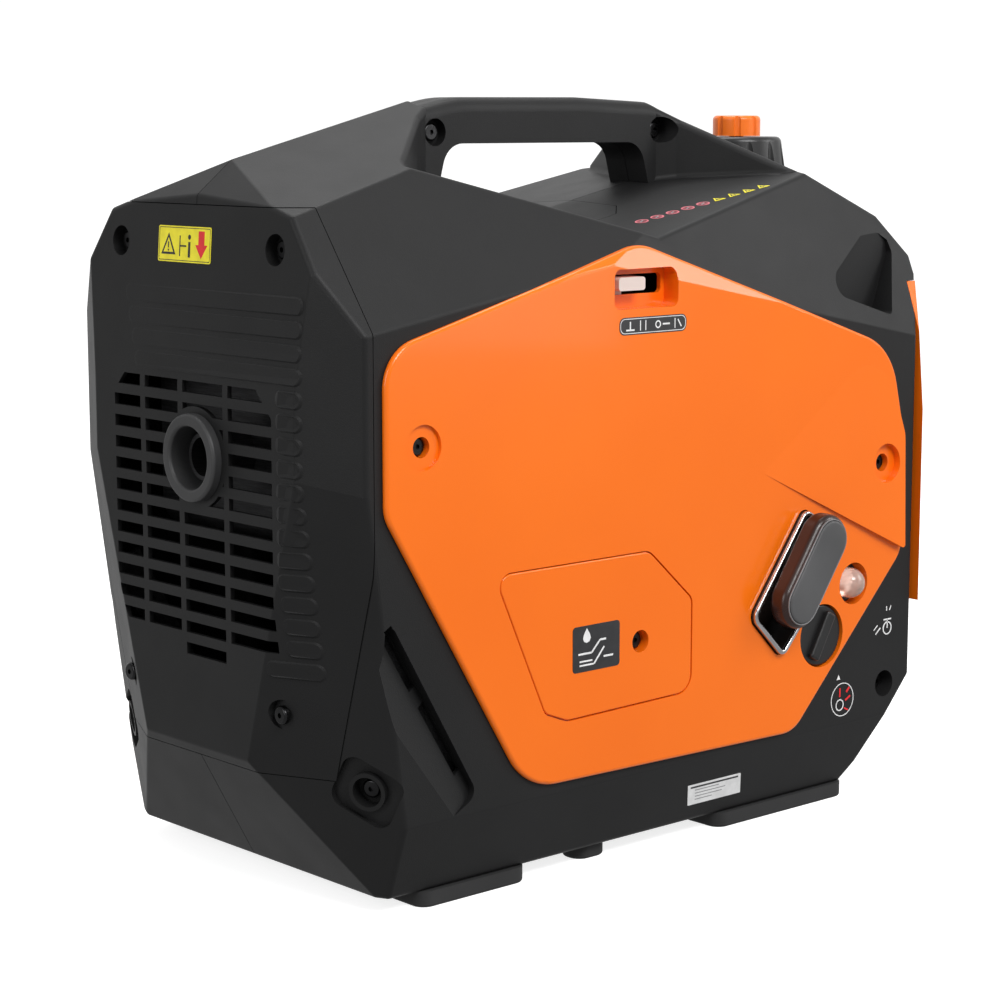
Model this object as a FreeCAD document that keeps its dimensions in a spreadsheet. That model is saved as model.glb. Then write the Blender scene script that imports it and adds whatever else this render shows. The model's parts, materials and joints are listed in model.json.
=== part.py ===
"""Portable suitcase inverter generator, as an assembly of separate pieces.

Millimetres, +Z up.  The model is drawn about the ground point under the seam between the two case
halves, and saved with that seam at seam_y, so that the origin is the middle of the footprint.  The
crankshaft runs along X: the exhaust end faces -X, the outlets face +X, and the recoil starter pulls
out on the -Y side.
"""
import FreeCAD, Part
import Sketcher
import math
import os

Vector = FreeCAD.Vector
Rotation = FreeCAD.Rotation
Placement = FreeCAD.Placement

DIMENSIONS = {
    # case
    "case_length": 510, "case_half_width": 139, "base_height": 10, "wall": 3, "edge_round": 4,
    "seam_gap": 0.5, "deck_height": 454, "grip_top": 468, "grip_under": 439, "grip_half_width": 18,
    "grip_round": 9, "saddle_ridge": 390, "saddle_low": 384, "seam_y": 8,
    # side panels
    "panel_proud": 3.5, "panel_gap": 0.4, "panel_ledge": 12, "panel_round": 2.4,
    # end covers
    "cover_seam": 230, "cover_bottom": 80, "cover_top": 405, "front_seam": 242, "front_bottom": 130,
    "front_top": 346, "front_proud": 6, "vent_rows": 12, "vent_pitch": 13, "vent_height": 7, "vent_top": 300,
    "outlet_y": -5, "outlet_z": 259, "outlet_radius": 26, "outlet_bore": 18.5, "outlet_proud": 6,
    # drive line
    "crank_z": 122, "shaft_radius": 12, "shaft_gap": 0.3, "shaft_start": -62, "shaft_end": 106,
    "web_radius": 34,
    "rotor_radius": 60, "stator_radius": 46, "fan_radius": 82, "fan_blades": 16,
    "reel_x": 117, "reel_core": 41, "reel_flange": 48, "reel_width": 14, "rope_radius": 2,
    "housing_radius": 62, "housing_start": 104, "housing_end": 130,
    # engine
    "crankcase_length": 112, "crankcase_width": 130, "crankcase_floor": 48, "crankcase_top": 178,
    "cylinder_radius": 30, "fin_radius": 46, "fin_count": 7, "bore_radius": 20,
    "head_bottom": 245, "head_top": 282, "rocker_top": 304, "mount_radius": 12, "mount_x": 42,
    "mount_y": 52, "tray_top": 20, "tray_bottom": 13.5, "oil_x": -42, "oil_z": 142,
    # fuel
    "cap_x": 208, "cap_radius": 32, "cap_bottom": 416, "cap_top": 442, "knob_radius": 16.5,
    "knob_height": 14, "neck_radius": 23, "tank_start": 66, "tank_end": 236, "tank_half_width": 106,
    "tank_floor": 272, "tank_roof": 362, "tank_wall": 2.5,
    # controls on the panel
    "knob_x": 143, "knob_z": 119, "knob_size": 20.3, "bulb_x": 174, "bulb_z": 150, "bulb_size": 10,
    "choke_x": -28, "choke_z": 357,
    # front outlets
    "socket_z": 188, "socket_radius": 23, "socket_left": -50, "socket_right": 14,
    "panel_face": 248, "breaker_y": 66, "breaker_z": 222,
}

document = FreeCAD.newDocument("generator")
sheet = document.addObject("Spreadsheet::Sheet", "D")
for row, (alias, value) in enumerate(DIMENSIONS.items(), start=1):
    sheet.set("A%d" % row, alias)
    sheet.set("B%d" % row, str(value))
    sheet.setAlias("B%d" % row, alias)
document.recompute()

NODES = []


def size(alias):
    return float(sheet.get(alias))


def feature(name, shape):
    """A node whose shape is worked out by Part's own functions."""
    node = document.addObject("Part::Feature", name)
    node.Label = name
    node.Shape = shape
    node.Placement = Placement()
    NODES.append(node)
    return node


def keep(node, name):
    node.Label = name
    NODES.append(node)
    return node


def bind(item, **sizes):
    for name, expression in sizes.items():
        item.setExpression(name, expression)


def place(item, x, y, z, rotation=None):
    """Put an object at a point given as three expressions, turned by a fixed rotation."""
    if rotation:
        item.Placement = Placement(Vector(), rotation)
    for axis, expression in zip("xyz", (x, y, z)):
        item.setExpression("Placement.Base.%s" % axis, expression)


ALONG_X = Rotation(Vector(0, 1, 0), 90)
ALONG_MINUS_Y = Rotation(Vector(1, 0, 0), 90)


def box(name, x, y, z, length, width, height):
    item = document.addObject("Part::Box", name)
    bind(item, Length=length, Width=width, Height=height)
    place(item, x, y, z)
    return item


def rod(name, radius, length, x, y, z, rotation=None):
    item = document.addObject("Part::Cylinder", name)
    bind(item, Radius=radius, Height=length)
    place(item, x, y, z, rotation)
    return item


def cut(name, base, tool):
    item = document.addObject("Part::Cut", name)
    item.Base = base
    item.Tool = tool
    return item


def fuse(name, *pieces):
    item = document.addObject("Part::MultiFuse", name)
    item.Shapes = list(pieces)
    item.Refine = True
    return item


def rounded(name, base, radius, chooser):
    """A Part::Fillet on those edges of the base that the chooser accepts."""
    document.recompute()
    item = document.addObject("Part::Fillet", name)
    item.Base = base
    item.Edges = [(index, radius, radius)
                  for index, edge in enumerate(base.Shape.Edges, start=1) if chooser(edge)]
    return item


def upright(edge):
    """True for a straight vertical edge."""
    ends = edge.Vertexes
    return len(ends) == 2 and abs(ends[0].X - ends[1].X) + abs(ends[0].Y - ends[1].Y) < 0.01


def runs_along_y(edge):
    """True for an edge whose ends are well apart along Y."""
    return abs(edge.Vertexes[0].Y - edge.Vertexes[-1].Y) > 5


def straight(edge):
    return len(edge.Vertexes) == 2 and edge.Curve.TypeId == "Part::GeomLine"


def origin_plane(body, role):
    return [item for item in body.Origin.OriginFeatures if item.Role == role][0]


def sketch_on(body, role, offset="0"):
    sketch = body.newObject("Sketcher::SketchObject", body.Name + "_sketch")
    sketch.AttachmentSupport = [(origin_plane(body, role), "")]
    sketch.MapMode = "FlatFace"
    sketch.setExpression("AttachmentOffset.Base.z", offset)
    return sketch


def draw_circle(sketch, x, y, radius):
    index = sketch.addGeometry(Part.Circle(Vector(), Vector(0, 0, 1), 10))
    for kind, expression in (("DistanceX", x), ("DistanceY", y)):
        constraint = sketch.addConstraint(Sketcher.Constraint(kind, -1, 1, index, 3, 1.0))
        sketch.setExpression("Constraints[%d]" % constraint, expression)
    constraint = sketch.addConstraint(Sketcher.Constraint("Radius", index, 10.0))
    sketch.setExpression("Constraints[%d]" % constraint, radius)


def turned_body(name, rings, role="YZ_Plane", x="0", y="0", z="0"):
    """A body of stacked rings on one axis: each ring is (start, length, outer, inner) expressions."""
    body = document.addObject("PartDesign::Body", name)
    for start, length, outer, inner in rings:
        sketch = sketch_on(body, role, start)
        draw_circle(sketch, "0", "0", outer)
        if inner:
            draw_circle(sketch, "0", "0", inner)
        pad = body.newObject("PartDesign::Pad", name + "_pad")
        pad.Profile = sketch
        bind(pad, Length=length)
    place(body, x, y, z)
    return keep(body, name)


# ---------------------------------------------------------------- case surface

CASE_FRONT = size("case_length") / 2
HALF_WIDTH = size("case_half_width")
FLOOR = size("base_height")
WALL = size("wall")
SEAM = size("seam_gap")
HEEL_FRONT = 185
CREASE = 300
CORE = Vector(0, -60, 230)

# Each flat of the right half is given by three points that it passes through.
FACETS = (
    ((-CASE_FRONT, 0, 90), (-CASE_FRONT, 0, CREASE), (-CASE_FRONT, -50, 90)),
    ((-CASE_FRONT, 0, CREASE), (-CASE_FRONT, -50, CREASE), (-247, 0, 412)),
    ((-247, 0, 411), (-247, -90, 404), (-222, 0, 431)),
    ((-132, 0, size("deck_height")), (-210, 0, 434), (-240, -92, 402)),
    ((-CASE_FRONT, 0, 86), (-CASE_FRONT, -50, 86), (-218, 0, 19)),
    ((0, 0, FLOOR), (10, 0, FLOOR), (0, -10, FLOOR)),
    ((HEEL_FRONT, 0, FLOOR), (HEEL_FRONT, -10, FLOOR), (CASE_FRONT, 0, 80)),
    ((CASE_FRONT, 0, 90), (CASE_FRONT, 0, CREASE), (CASE_FRONT, -50, 90)),
    ((CASE_FRONT, 0, 340), (CASE_FRONT, -50, 340), (252, 0, 376)),
    ((252, 0, 374), (252, -90, 366), (196, 0, 430)),
    ((196, 0, 430), (113, 0, 465), (157, -106, 420)),
    ((0, -HALF_WIDTH, 60), (10, -HALF_WIDTH, 60), (0, -HALF_WIDTH, 100)),
    ((0, -HALF_WIDTH, 55), (10, -HALF_WIDTH, 55), (0, -125, 12)),
    ((-12, -130, 386), (-233, -142, 333), (-237, -92, 400)),
    ((-12, -130, 386), (248, -142, 300), (160, -106, 420)),
    ((-CASE_FRONT, -100, 100), (-CASE_FRONT, -100, 250), (-234, -142, 250)),
    ((-233, -142, 240), (-244, -75, 86), (-212, -121, 12)),
    ((CASE_FRONT, -121, 100), (CASE_FRONT, -121, 250), (237, -HALF_WIDTH, 250)),
    ((251, -137, 92), (251, -118, 72), (190, -124, 12)),
)
RIDGE = size("saddle_ridge")
SADDLE_TIP = (0, -110, size("saddle_low"))
SADDLE_FLATS = (
    (SADDLE_TIP, (-165, -80, 429), (-86, 0, RIDGE + 22)),
    (SADDLE_TIP, (160, -106, 419), (104, 0, RIDGE + 23)),
)
# Plan outlines (x, y) of the ground that each handle leg stands on, on the right half.
LEG_PLANS = (
    ((-210, 5), (-210, -92), (-165, -84), (-99, -24), (-85, -15), (-85, 5)),
    ((107, 5), (107, -15), (121, -27), (164, -110), (215, -112), (215, 5)),
)


def outer_block(points, offset, core, reach=800):
    """A block that fills all space on the far side of a flat from the core point."""
    first, second, third = [Vector(*point) for point in points]
    normal = (second - first).cross(third - first).normalize()
    if normal.dot(first - core) < 0:
        normal = normal * -1
    block = Part.makeBox(2 * reach, 2 * reach, reach, Vector(-reach, -reach, 0))
    block.Placement = Placement(first + normal * offset, Rotation(Vector(0, 0, 1), normal))
    return block


def off_centre(edge):
    """True for an edge that doesn't lie on the middle plane of the case."""
    return any(abs(vertex.Y) > 0.001 for vertex in edge.Vertexes)


def right_half(offset, round_radius=0, saddle=True):
    """The right half of the case as a solid, each flat moved outwards by the offset."""
    solid = Part.makeBox(600, 170, 540, Vector(-300, -170, -20))
    for points in FACETS:
        solid = solid.cut(outer_block(points, offset, CORE))
    hollow = Part.makeBox(600, 170, 200, Vector(-300, -170, 350))
    for points in SADDLE_FLATS:
        hollow = hollow.cut(outer_block(points, -offset, Vector(0, -40, 900)))
    for plan in (LEG_PLANS if offset >= 0 else ()):
        corners = [Vector(x, y, 350) for x, y in plan]
        leg = Part.Face(Part.makePolygon(corners + corners[:1])).extrude(Vector(0, 0, 200))
        hollow = hollow.cut(leg)
    if saddle:
        solid = solid.cut(hollow)
    if round_radius:
        solid = solid.makeFillet(round_radius, [edge for edge in solid.Edges if off_centre(edge)])
    return solid


def mirrored(shape):
    return shape.mirror(Vector(), Vector(0, 1, 0))


def whole(shape):
    return shape.fuse(mirrored(shape)).removeSplitter()


def outline_face(corners):
    """A flat face in the XZ plane with a round of its own at each corner (x, z, radius)."""
    edges = []
    count = len(corners)
    ends = []
    for index, (x, z, radius) in enumerate(corners):
        here = Vector(x, 0, z)
        before = (Vector(corners[index - 1][0], 0, corners[index - 1][1]) - here).normalize()
        after = Vector(corners[(index + 1) % count][0], 0, corners[(index + 1) % count][1]) - here
        after = after.normalize()
        half_angle = math.acos(max(-1, min(1, before.dot(after)))) / 2
        reach = radius / math.tan(half_angle)
        middle = (before + after).normalize()
        centre = here + middle * (radius / math.sin(half_angle))
        ends.append((here + before * reach, centre - middle * radius, here + after * reach))
    for index in range(count):
        start, through, stop = ends[index]
        edges.append(Part.Arc(start, through, stop).toShape())
        following = ends[(index + 1) % count][0]
        if (following - stop).Length > 0.001:
            edges.append(Part.LineSegment(stop, following).toShape())
    return Part.Face(Part.Wire(edges))


def inset(face, distance):
    return face.makeOffset2D(distance)


def prism(face, y_start, y_end):
    """The face swept from one Y to another."""
    moved = face.copy()
    moved.translate(Vector(0, y_start, 0))
    return moved.extrude(Vector(0, y_end - y_start, 0))


def block(x0, y0, z0, x1, y1, z1):
    return Part.makeBox(x1 - x0, y1 - y0, z1 - z0, Vector(x0, y0, z0))


def tube_well(point, axis, radius, depth, wall):
    """The outer and inner solids of a round screw well that starts at a point on the surface."""
    outward = Vector(*axis).normalize()
    surface = Vector(*point)
    outer = Part.makeCylinder(radius + wall, depth + 3, surface - outward * (depth + 3), outward)
    inner = Part.makeCylinder(radius, depth + 20, surface - outward * depth, outward)
    hole = Part.makeCylinder(2.6, depth + 40, surface - outward * (depth + 20), outward)
    return outer, inner.fuse(hole)


SCREW_HEAD = 5.5


def screw(point, axis, depth):
    """A pan-head screw whose head rests on the floor of a well."""
    outward = Vector(*axis).normalize()
    floor = Vector(*point) - outward * depth
    head = Part.makeCylinder(SCREW_HEAD, 3.5, floor, outward)
    head = head.makeFillet(1.4, [edge for edge in head.Edges
                                 if edge.Curve.TypeId == "Part::GeomCircle"
                                 and (edge.CenterOfMass - floor).dot(outward) > 3])
    shank = Part.makeCylinder(2.2, 12, floor - outward * 12, outward)
    socket = Part.makeCylinder(1.6, 2, floor + outward * 2, outward)
    return head.fuse(shank).cut(socket)


SKIN = right_half(0, size("edge_round"))
INNER = right_half(-WALL)

# ---------------------------------------------------------------- side panel outline

PANEL_CORNERS = (
    (-224, 236, 22), (-224, 328, 28), (-22, 381, 40), (209, 305, 46), (224, 246, 20),
    (224, 166, 20), (118, 58, 24), (-118, 62, 44),
)
PANEL_FACE = outline_face(PANEL_CORNERS)
PANEL_SCREWS = ((-197, 273), (203, 228))
PANEL_WELL_DEPTH = 9
DOOR_CORNERS = (
    (-144, 194, 8), (-18, 194, 12), (20, 160, 8), (20, 101, 12), (-86, 99, 16), (-104, 106, 8),
)
DOOR_FACE = outline_face(DOOR_CORNERS)
BEZEL_CORNERS = ((122, 206, 6), (166, 181, 8), (102, 110, 6), (72, 140, 8))
BEZEL_FACE = outline_face(BEZEL_CORNERS)
PANEL_PROUD = size("panel_proud")
PANEL_Y = -(HALF_WIDTH + PANEL_PROUD)
# x, z and radius of the round recesses for the engine knob and the primer bulb
CONTROL_CUPS = ((size("knob_x"), size("knob_z"), 21), (size("bulb_x"), size("bulb_z"), 14))

# ---------------------------------------------------------------- shells


def handle_half():
    """The right half of the handle: grip and two legs, with the finger opening through it."""
    top = size("grip_top")
    under = size("grip_under")
    half = size("grip_half_width")
    profile = outline_face((
        (-150, 449.4, 2), (-132, 454, 60), (-63, top - 0.5, 90), (43, top, 90), (113, 465, 60),
        (152, 448.5, 2), (150, 396, 2), (-150, 396, 2),
    ))
    bar = prism(profile, -half, 0)
    long_edges = [edge for edge in bar.Edges
                  if all(abs(vertex.Y + half) < 0.01 and vertex.Z > 440 for vertex in edge.Vertexes)]
    bar = bar.makeFillet(size("grip_round"), long_edges)
    bar = bar.common(right_half(0, size("edge_round"), saddle=False))
    opening = outline_face((
        (-88, 380, 4), (-72, under, 16), (96, under, 16), (112, 380, 4),
    ))
    return bar.cut(prism(opening, -60, 1))


COVER_SEAM = size("cover_seam")
COVER_BOTTOM = size("cover_bottom")
COVER_TOP = size("cover_top")
FRONT_SEAM = size("front_seam")
FRONT_BOTTOM = size("front_bottom")
FRONT_TOP = size("front_top")
CAP_X = size("cap_x")
DECK_FLOOR = 409
HANDLE_SCREWS = ((-82, 446), (113, 447))
LOW_WELL_RADIUS = 9
LOW_WELL_DEPTH = 9


def on_skin(x, y, z):
    """The nearest point of the case surface to a rough position on it."""
    near = SKIN.Shells[0].distToShape(Part.Vertex(Vector(x, y, z)))[1][0][0]
    return (near.x, near.y, near.z)


LOW_SCREWS = (
    (on_skin(-222, -120, 75), (-0.9, -0.43, -0.12)),
    (on_skin(212, -139, 76), (0.15, -0.98, -0.1)),
)


def shell_half(left):
    """One half of the case, open at both ends, with the panel opening in its side."""
    shell = SKIN.cut(INNER)
    shell = shell.fuse(handle_half())
    collar = Part.makeCylinder(40, 14, Vector(CAP_X, 0, DECK_FLOOR - 4))
    collar = collar.common(block(-300, -200, 0, 300, 0, 500))
    shell = shell.fuse([Part.makeCylinder(40, 60, Vector(CAP_X, 0, DECK_FLOOR - 4)).common(SKIN), collar])
    shell = shell.cut(Part.makeCylinder(36.5, 80, Vector(CAP_X, 0, DECK_FLOOR)))
    shell = shell.cut(Part.makeCylinder(size("neck_radius") + 2, 120, Vector(CAP_X, 0, 350)))
    for face, y_start, floor_points in POCKETS:
        space, backing = pocket(face, y_start, floor_points)
        shell = shell.fuse(backing).cut(space)
    space, backing = dish(*LOW_SCREWS[0], 34, 40, 4)
    shell = shell.fuse(backing).cut(space)
    rear_gap = block(-300, -200, COVER_BOTTOM - SEAM, SEAM - COVER_SEAM, 10, COVER_TOP + SEAM)
    front_gap = block(FRONT_SEAM - SEAM, -200, FRONT_BOTTOM - SEAM, 300, 10, FRONT_TOP + SEAM)
    shell = shell.cut(rear_gap).cut(front_gap)
    side_opening = prism(inset(PANEL_FACE, -size("panel_ledge")), -200, -90)
    for x, z in PANEL_SCREWS:
        rear_reach = 52 if x < 0 else 12
        front_reach = 52 if x > 0 else 12
        side_opening = side_opening.cut(block(x - rear_reach, -210, z - 12, x + front_reach, -80, z + 12))
    shell = shell.cut(side_opening)
    for x, z in PANEL_SCREWS:
        boss = Part.makeCylinder(12, 14, Vector(x, -HALF_WIDTH + 14.5, z), Vector(0, -1, 0))
        shell = shell.fuse(boss)
        shell = shell.cut(Part.makeCylinder(8.4, 40, Vector(x, -HALF_WIDTH + 7.9, z), Vector(0, -1, 0)))
        shell = shell.cut(Part.makeCylinder(2.6, 40, Vector(x, -110, z), Vector(0, -1, 0)))
    for x, z in HANDLE_SCREWS:
        shell = shell.cut(Part.makeCylinder(8.5, 40, Vector(x, -11, z), Vector(0, -1, 0)))
        shell = shell.cut(Part.makeCylinder(2.6, 40, Vector(x, 1, z), Vector(0, -1, 0)))
    for point, axis in LOW_SCREWS:
        outer, inner = tube_well(point, axis, LOW_WELL_RADIUS, LOW_WELL_DEPTH, 2.5)
        shell = shell.fuse(outer.common(SKIN)).cut(inner)
    shell = shell.cut(intake_slots())
    shell = shell.cut(inset_plan(0.4).extrude(Vector(0, 0, 60)))
    shell = shell.cut(block(-300, -SEAM / 2, 0, 300, 10, 500))
    if not left:
        tray_gap = prism(inset(PANEL_FACE, -3.4), -200, -120).common(block(-57, -200, 337, 13, -120, 377))
        shell = shell.cut(tray_gap)
        for x, z, radius in CONTROL_CUPS:
            shell = shell.cut(Part.makeCylinder(radius + 2.5, 90, Vector(x, -115, z), Vector(0, -1, 0)))
    shell = max(shell.Solids, key=lambda solid: solid.Volume)
    if left:
        shell = mirrored(shell)
    return shell.removeSplitter()



def inset_plan(grow):
    """The outline, seen from above, of the lift-off cover over the spark plug."""
    half_width = 58 + grow
    start = -64 - grow
    end = 50 + grow
    cut_off = 16
    corners = [Vector(x, y, 360) for x, y in (
        (start, -half_width + cut_off), (start + cut_off, -half_width), (end - cut_off, -half_width),
        (end, -half_width + cut_off), (end, half_width - cut_off), (end - cut_off, half_width),
        (start + cut_off, half_width), (start, half_width - cut_off))]
    return Part.Face(Part.makePolygon(corners + corners[:1]))


def pocket(face, y_start, floor_points):
    """A wedge pocket below the outline, and the wall that backs it: (space, backing)."""
    space = prism(face, -200, y_start).common(outer_block(floor_points, 0, CORE))
    backing = prism(inset(face, WALL), -200, y_start).common(outer_block(floor_points, -WALL, CORE))
    return space, backing.common(SKIN)


VENT_POCKET = outline_face(((213, 384, 3), (231, 374, 3), (233, 366, 4), (216, 325, 4), (150, 345, 10)))
VENT_FLOOR = ((212, -117, 384), (140, -124, 350), (224, -116, 345))
INTAKE_POCKET = outline_face(((-222, 182, 4), (-154, 66, 8), (-176, 54, 8), (-226, 120, 20)))
INTAKE_FLOOR = ((-226, -HALF_WIDTH - 1, 120), (-176, -HALF_WIDTH - 1, 54), (-190, -HALF_WIDTH + 7, 124))
POCKETS = ((VENT_POCKET, -90, VENT_FLOOR), (INTAKE_POCKET, -90, INTAKE_FLOOR))


def dish(point, axis, width, height, depth):
    """A rounded rectangular hollow about a screw, and the wall behind it: (space, backing)."""
    outward = Vector(*axis).normalize()
    shapes = []
    for grow, low, reach in ((0, depth, 30), (WALL, depth + WALL, 0)):
        corner = Vector(-width / 2 - grow, -height / 2 - grow, 0)
        tool = Part.makeBox(width + 2 * grow, height + 2 * grow, low + reach, corner)
        tool = tool.makeFillet(9, [edge for edge in tool.Edges if upright(edge)])
        tool.Placement = Placement(Vector(*point) - outward * low, Rotation(Vector(0, 0, 1), outward))
        shapes.append(tool)
    return shapes[0], shapes[1].common(SKIN)


def intake_slots():
    """Two cooling-air slots in the step behind the lower rear edge of the side panel."""
    slots = []
    for low, high in (((-166, 80), (-192, 124)), ((-198, 134), (-221, 173))):
        start = Vector(low[0], -HALF_WIDTH + 2, low[1])
        run = Vector(high[0], -HALF_WIDTH + 2, high[1]) - start
        slot = Part.makeBox(6, 30, run.Length, Vector(-3, -10, 0))
        slot.Placement = Placement(start, Rotation(Vector(0, 1, 0), math.degrees(math.atan2(run.x, run.z))))
        slots.append(slot)
    return slots[0].fuse(slots[1])


# ---------------------------------------------------------------- rear cover

VENT_COLUMNS = ((-79, -37.5), (-32.5, 7.5), (12.5, 46.5), (51.5, 79))
COVER_SCREWS = ((-77, 382), (77, 382), (-77, 117), (77, 117))
COVER_WELL_DEPTH = 8


def cover_surface_x(z):
    """X of the outer face of the rear cover at a height."""
    lean = max(0, z - CREASE) * (CASE_FRONT - 247) / (412 - CREASE)
    return -CASE_FRONT + lean


def rear_cover_shape():
    region = block(-300, -200, COVER_BOTTOM, -COVER_SEAM, 200, COVER_TOP)
    cover = whole(SKIN.common(region)).cut(whole(INNER))
    ring_y = size("outlet_y")
    ring_z = size("outlet_z")
    slots = []
    pitch = size("vent_pitch")
    half_height = size("vent_height") / 2
    for row in range(int(size("vent_rows"))):
        z = size("vent_top") - pitch * row
        for low, high in VENT_COLUMNS:
            slots.append(block(-270, low, z - half_height, -245, high, z + half_height))
    last = size("vent_top") - pitch * size("vent_rows")
    slots.append(block(-270, -32.5, last - half_height, -245, 7.5, last + half_height))
    grille = slots[0].multiFuse(slots[1:])
    low_z = last - half_height
    frame = Part.makePolygon([Vector(-280, y, z) for y, z in (
        (-79, low_z), (62, low_z), (79, low_z + 30), (79, 292), (66, 306), (-62, 306), (-79, 288),
        (-79, low_z))])
    grille = grille.common(Part.Face(frame).extrude(Vector(50, 0, 0)))
    grille = grille.cut(Part.makeCylinder(size("outlet_radius") + 4, 60, Vector(-280, ring_y, ring_z),
                                          Vector(1, 0, 0)))
    cover = cover.cut(grille)
    cover = cover.cut(Part.makeCylinder(size("outlet_radius") - 4, 60, Vector(-280, ring_y, ring_z),
                                        Vector(1, 0, 0)))
    for y, z in COVER_SCREWS:
        outer, inner = tube_well((cover_surface_x(z), y, z), (-1, 0, 0), 9, COVER_WELL_DEPTH, 2.5)
        cover = cover.fuse(outer.common(whole(SKIN))).cut(inner)
    return cover.removeSplitter()


# ---------------------------------------------------------------- front cover

PANEL_FACE_X = size("panel_face")
SOCKETS = (size("socket_left"), size("socket_right"))
DC_Y, DC_Z = 66, 188
BREAKER_Y, BREAKER_Z = size("breaker_y"), size("breaker_z")
SWITCH_Y, SWITCH_Z = 66, 262
EARTH_Y, EARTH_Z = 82, 155
LAMPS = (-68, -46, -24)
LAMP_Z = 284
DEVICE_DEPTH = 22

FRONT_PROUD = size("front_proud")
FRONT_FLATS = (7, 11, 17)
# The flank of the front cover comes down to the case surface at this height, along this line.
FLANK_TAPER = ((237, -HALF_WIDTH, 356), (CASE_FRONT, -121, 356), (241.2, -143.2, 262))


def front_bulge(proud, inward):
    """The right half of the space inside the front cover, its proud flats and its flush ones moved."""
    solid = block(FRONT_SEAM, -200, FRONT_BOTTOM, 300, 0, FRONT_TOP)
    for index, points in enumerate(FACETS):
        solid = solid.cut(outer_block(points, proud if index in FRONT_FLATS else -inward, CORE))
    return solid.cut(outer_block(FLANK_TAPER, -inward, CORE))


def front_cover_shape():
    """The proud orange end cover: a hollow frame with a lip that meets the shells at the seam."""
    bulge = front_bulge(FRONT_PROUD, 0)
    corners = [edge for edge in bulge.Edges if upright(edge) and edge.BoundBox.XMin > FRONT_SEAM + 8
               and edge.BoundBox.YMax < -50]
    bulge = bulge.makeFillet(5, corners)
    hollow = front_bulge(FRONT_PROUD - WALL, WALL).common(
        block(FRONT_SEAM + WALL, -200, FRONT_BOTTOM + WALL, 300, 1, FRONT_TOP - WALL))
    hollow = hollow.cut(block(230, -102, FRONT_BOTTOM, 300, 1, FRONT_TOP))
    cover = whole(bulge.cut(hollow)).cut(whole(INNER))
    window = outline_face(((-96, 142, 12), (-96, 330, 12), (96, 330, 12), (96, 142, 12)))
    opening = window.extrude(Vector(0, 60, 0))
    opening.rotate(Vector(), Vector(0, 0, 1), -90)
    opening.translate(Vector(220, 0, 0))
    return cover.cut(opening).removeSplitter()


def control_panel_shape():
    """The black instrument plate, with a hole for every device that it carries."""
    plate = outline_face(((-95.4, 142.6, 11.4), (-95.4, 329.4, 11.4), (95.4, 329.4, 11.4),
                          (95.4, 142.6, 11.4))).extrude(Vector(0, 5, 0))
    plate.rotate(Vector(), Vector(0, 0, 1), -90)
    plate.translate(Vector(PANEL_FACE_X - 5, 0, 0))
    holes = [(y, size("socket_z"), size("socket_radius") - 4) for y in SOCKETS]
    holes += [(DC_Y, DC_Z, 15), (BREAKER_Y, BREAKER_Z, 8), (EARTH_Y, EARTH_Z, 4)]
    holes += [(y, LAMP_Z, 4) for y in LAMPS]
    for y, z, radius in holes:
        plate = plate.cut(Part.makeCylinder(radius, 30, Vector(230, y, z), Vector(1, 0, 0)))
    return plate.cut(block(230, SWITCH_Y - 8, SWITCH_Z - 12, 260, SWITCH_Y + 8, SWITCH_Z + 12))



def ring_x(outer, inner, start, end, y, z):
    """A ring, or a disc where inner is 0, whose axis is along X."""
    shape = Part.makeCylinder(outer, end - start, Vector(start, y, z), Vector(1, 0, 0))
    if inner:
        shape = shape.cut(Part.makeCylinder(inner, end - start, Vector(start, y, z), Vector(1, 0, 0)))
    return shape


def ac_outlet(y):
    z = size("socket_z")
    radius = size("socket_radius")
    body = ring_x(radius - 4.3, 0, PANEL_FACE_X - DEVICE_DEPTH, PANEL_FACE_X, y, z)
    flange = ring_x(radius, 0, PANEL_FACE_X, PANEL_FACE_X + 3, y, z)
    well = ring_x(radius - 6, 0, PANEL_FACE_X - 14, PANEL_FACE_X + 4, y, z)
    socket = body.fuse(flange).cut(well)
    for side in (-9.5, 9.5):
        socket = socket.cut(ring_x(2.4, 0, PANEL_FACE_X - 20, PANEL_FACE_X - 10, y + side, z))
    ears = block(PANEL_FACE_X, y - 14, z + radius - 4, PANEL_FACE_X + 3, y - 9, z + radius + 6)
    other = block(PANEL_FACE_X, y + 9, z + radius - 4, PANEL_FACE_X + 3, y + 14, z + radius + 6)
    pin = Part.makeCylinder(1, 28, Vector(PANEL_FACE_X + 4.5, y - 14, z + radius + 3.5), Vector(0, 1, 0))
    knuckles = [Part.makeCylinder(2.2, 5, Vector(PANEL_FACE_X + 4.5, y + start, z + radius + 3.5),
                                  Vector(0, 1, 0)) for start in (-14, 9)]
    return socket.fuse([ears, other, pin] + knuckles).removeSplitter()


def outlet_lid(y):
    """A sprung splash lid that hangs from a pin above its outlet."""
    z = size("socket_z")
    radius = size("socket_radius")
    hinge_z = z + radius + 3.5
    disc = ring_x(radius - 0.5, 0, PANEL_FACE_X + 3.4, PANEL_FACE_X + 6.4, y, z)
    neck = block(PANEL_FACE_X + 3.4, y - 8.4, z + radius - 5, PANEL_FACE_X + 6.4, y + 8.4, hinge_z)
    barrel = Part.makeCylinder(2.2, 16.8, Vector(PANEL_FACE_X + 4.5, y - 8.4, hinge_z), Vector(0, 1, 0))
    bore = Part.makeCylinder(1.05, 40, Vector(PANEL_FACE_X + 4.5, y - 20, hinge_z), Vector(0, 1, 0))
    tab = block(PANEL_FACE_X + 3.4, y - 5, z - radius - 3, PANEL_FACE_X + 6.4, y + 5, z - radius + 3)
    return disc.fuse([neck, barrel, tab]).removeSplitter().cut(bore)


# ---------------------------------------------------------------- side panels and what they carry


PANEL_RIM = PANEL_FACE.OuterWire
PANEL_OUTSIDE = right_half(PANEL_PROUD, size("edge_round")).Shells[0]


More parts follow.
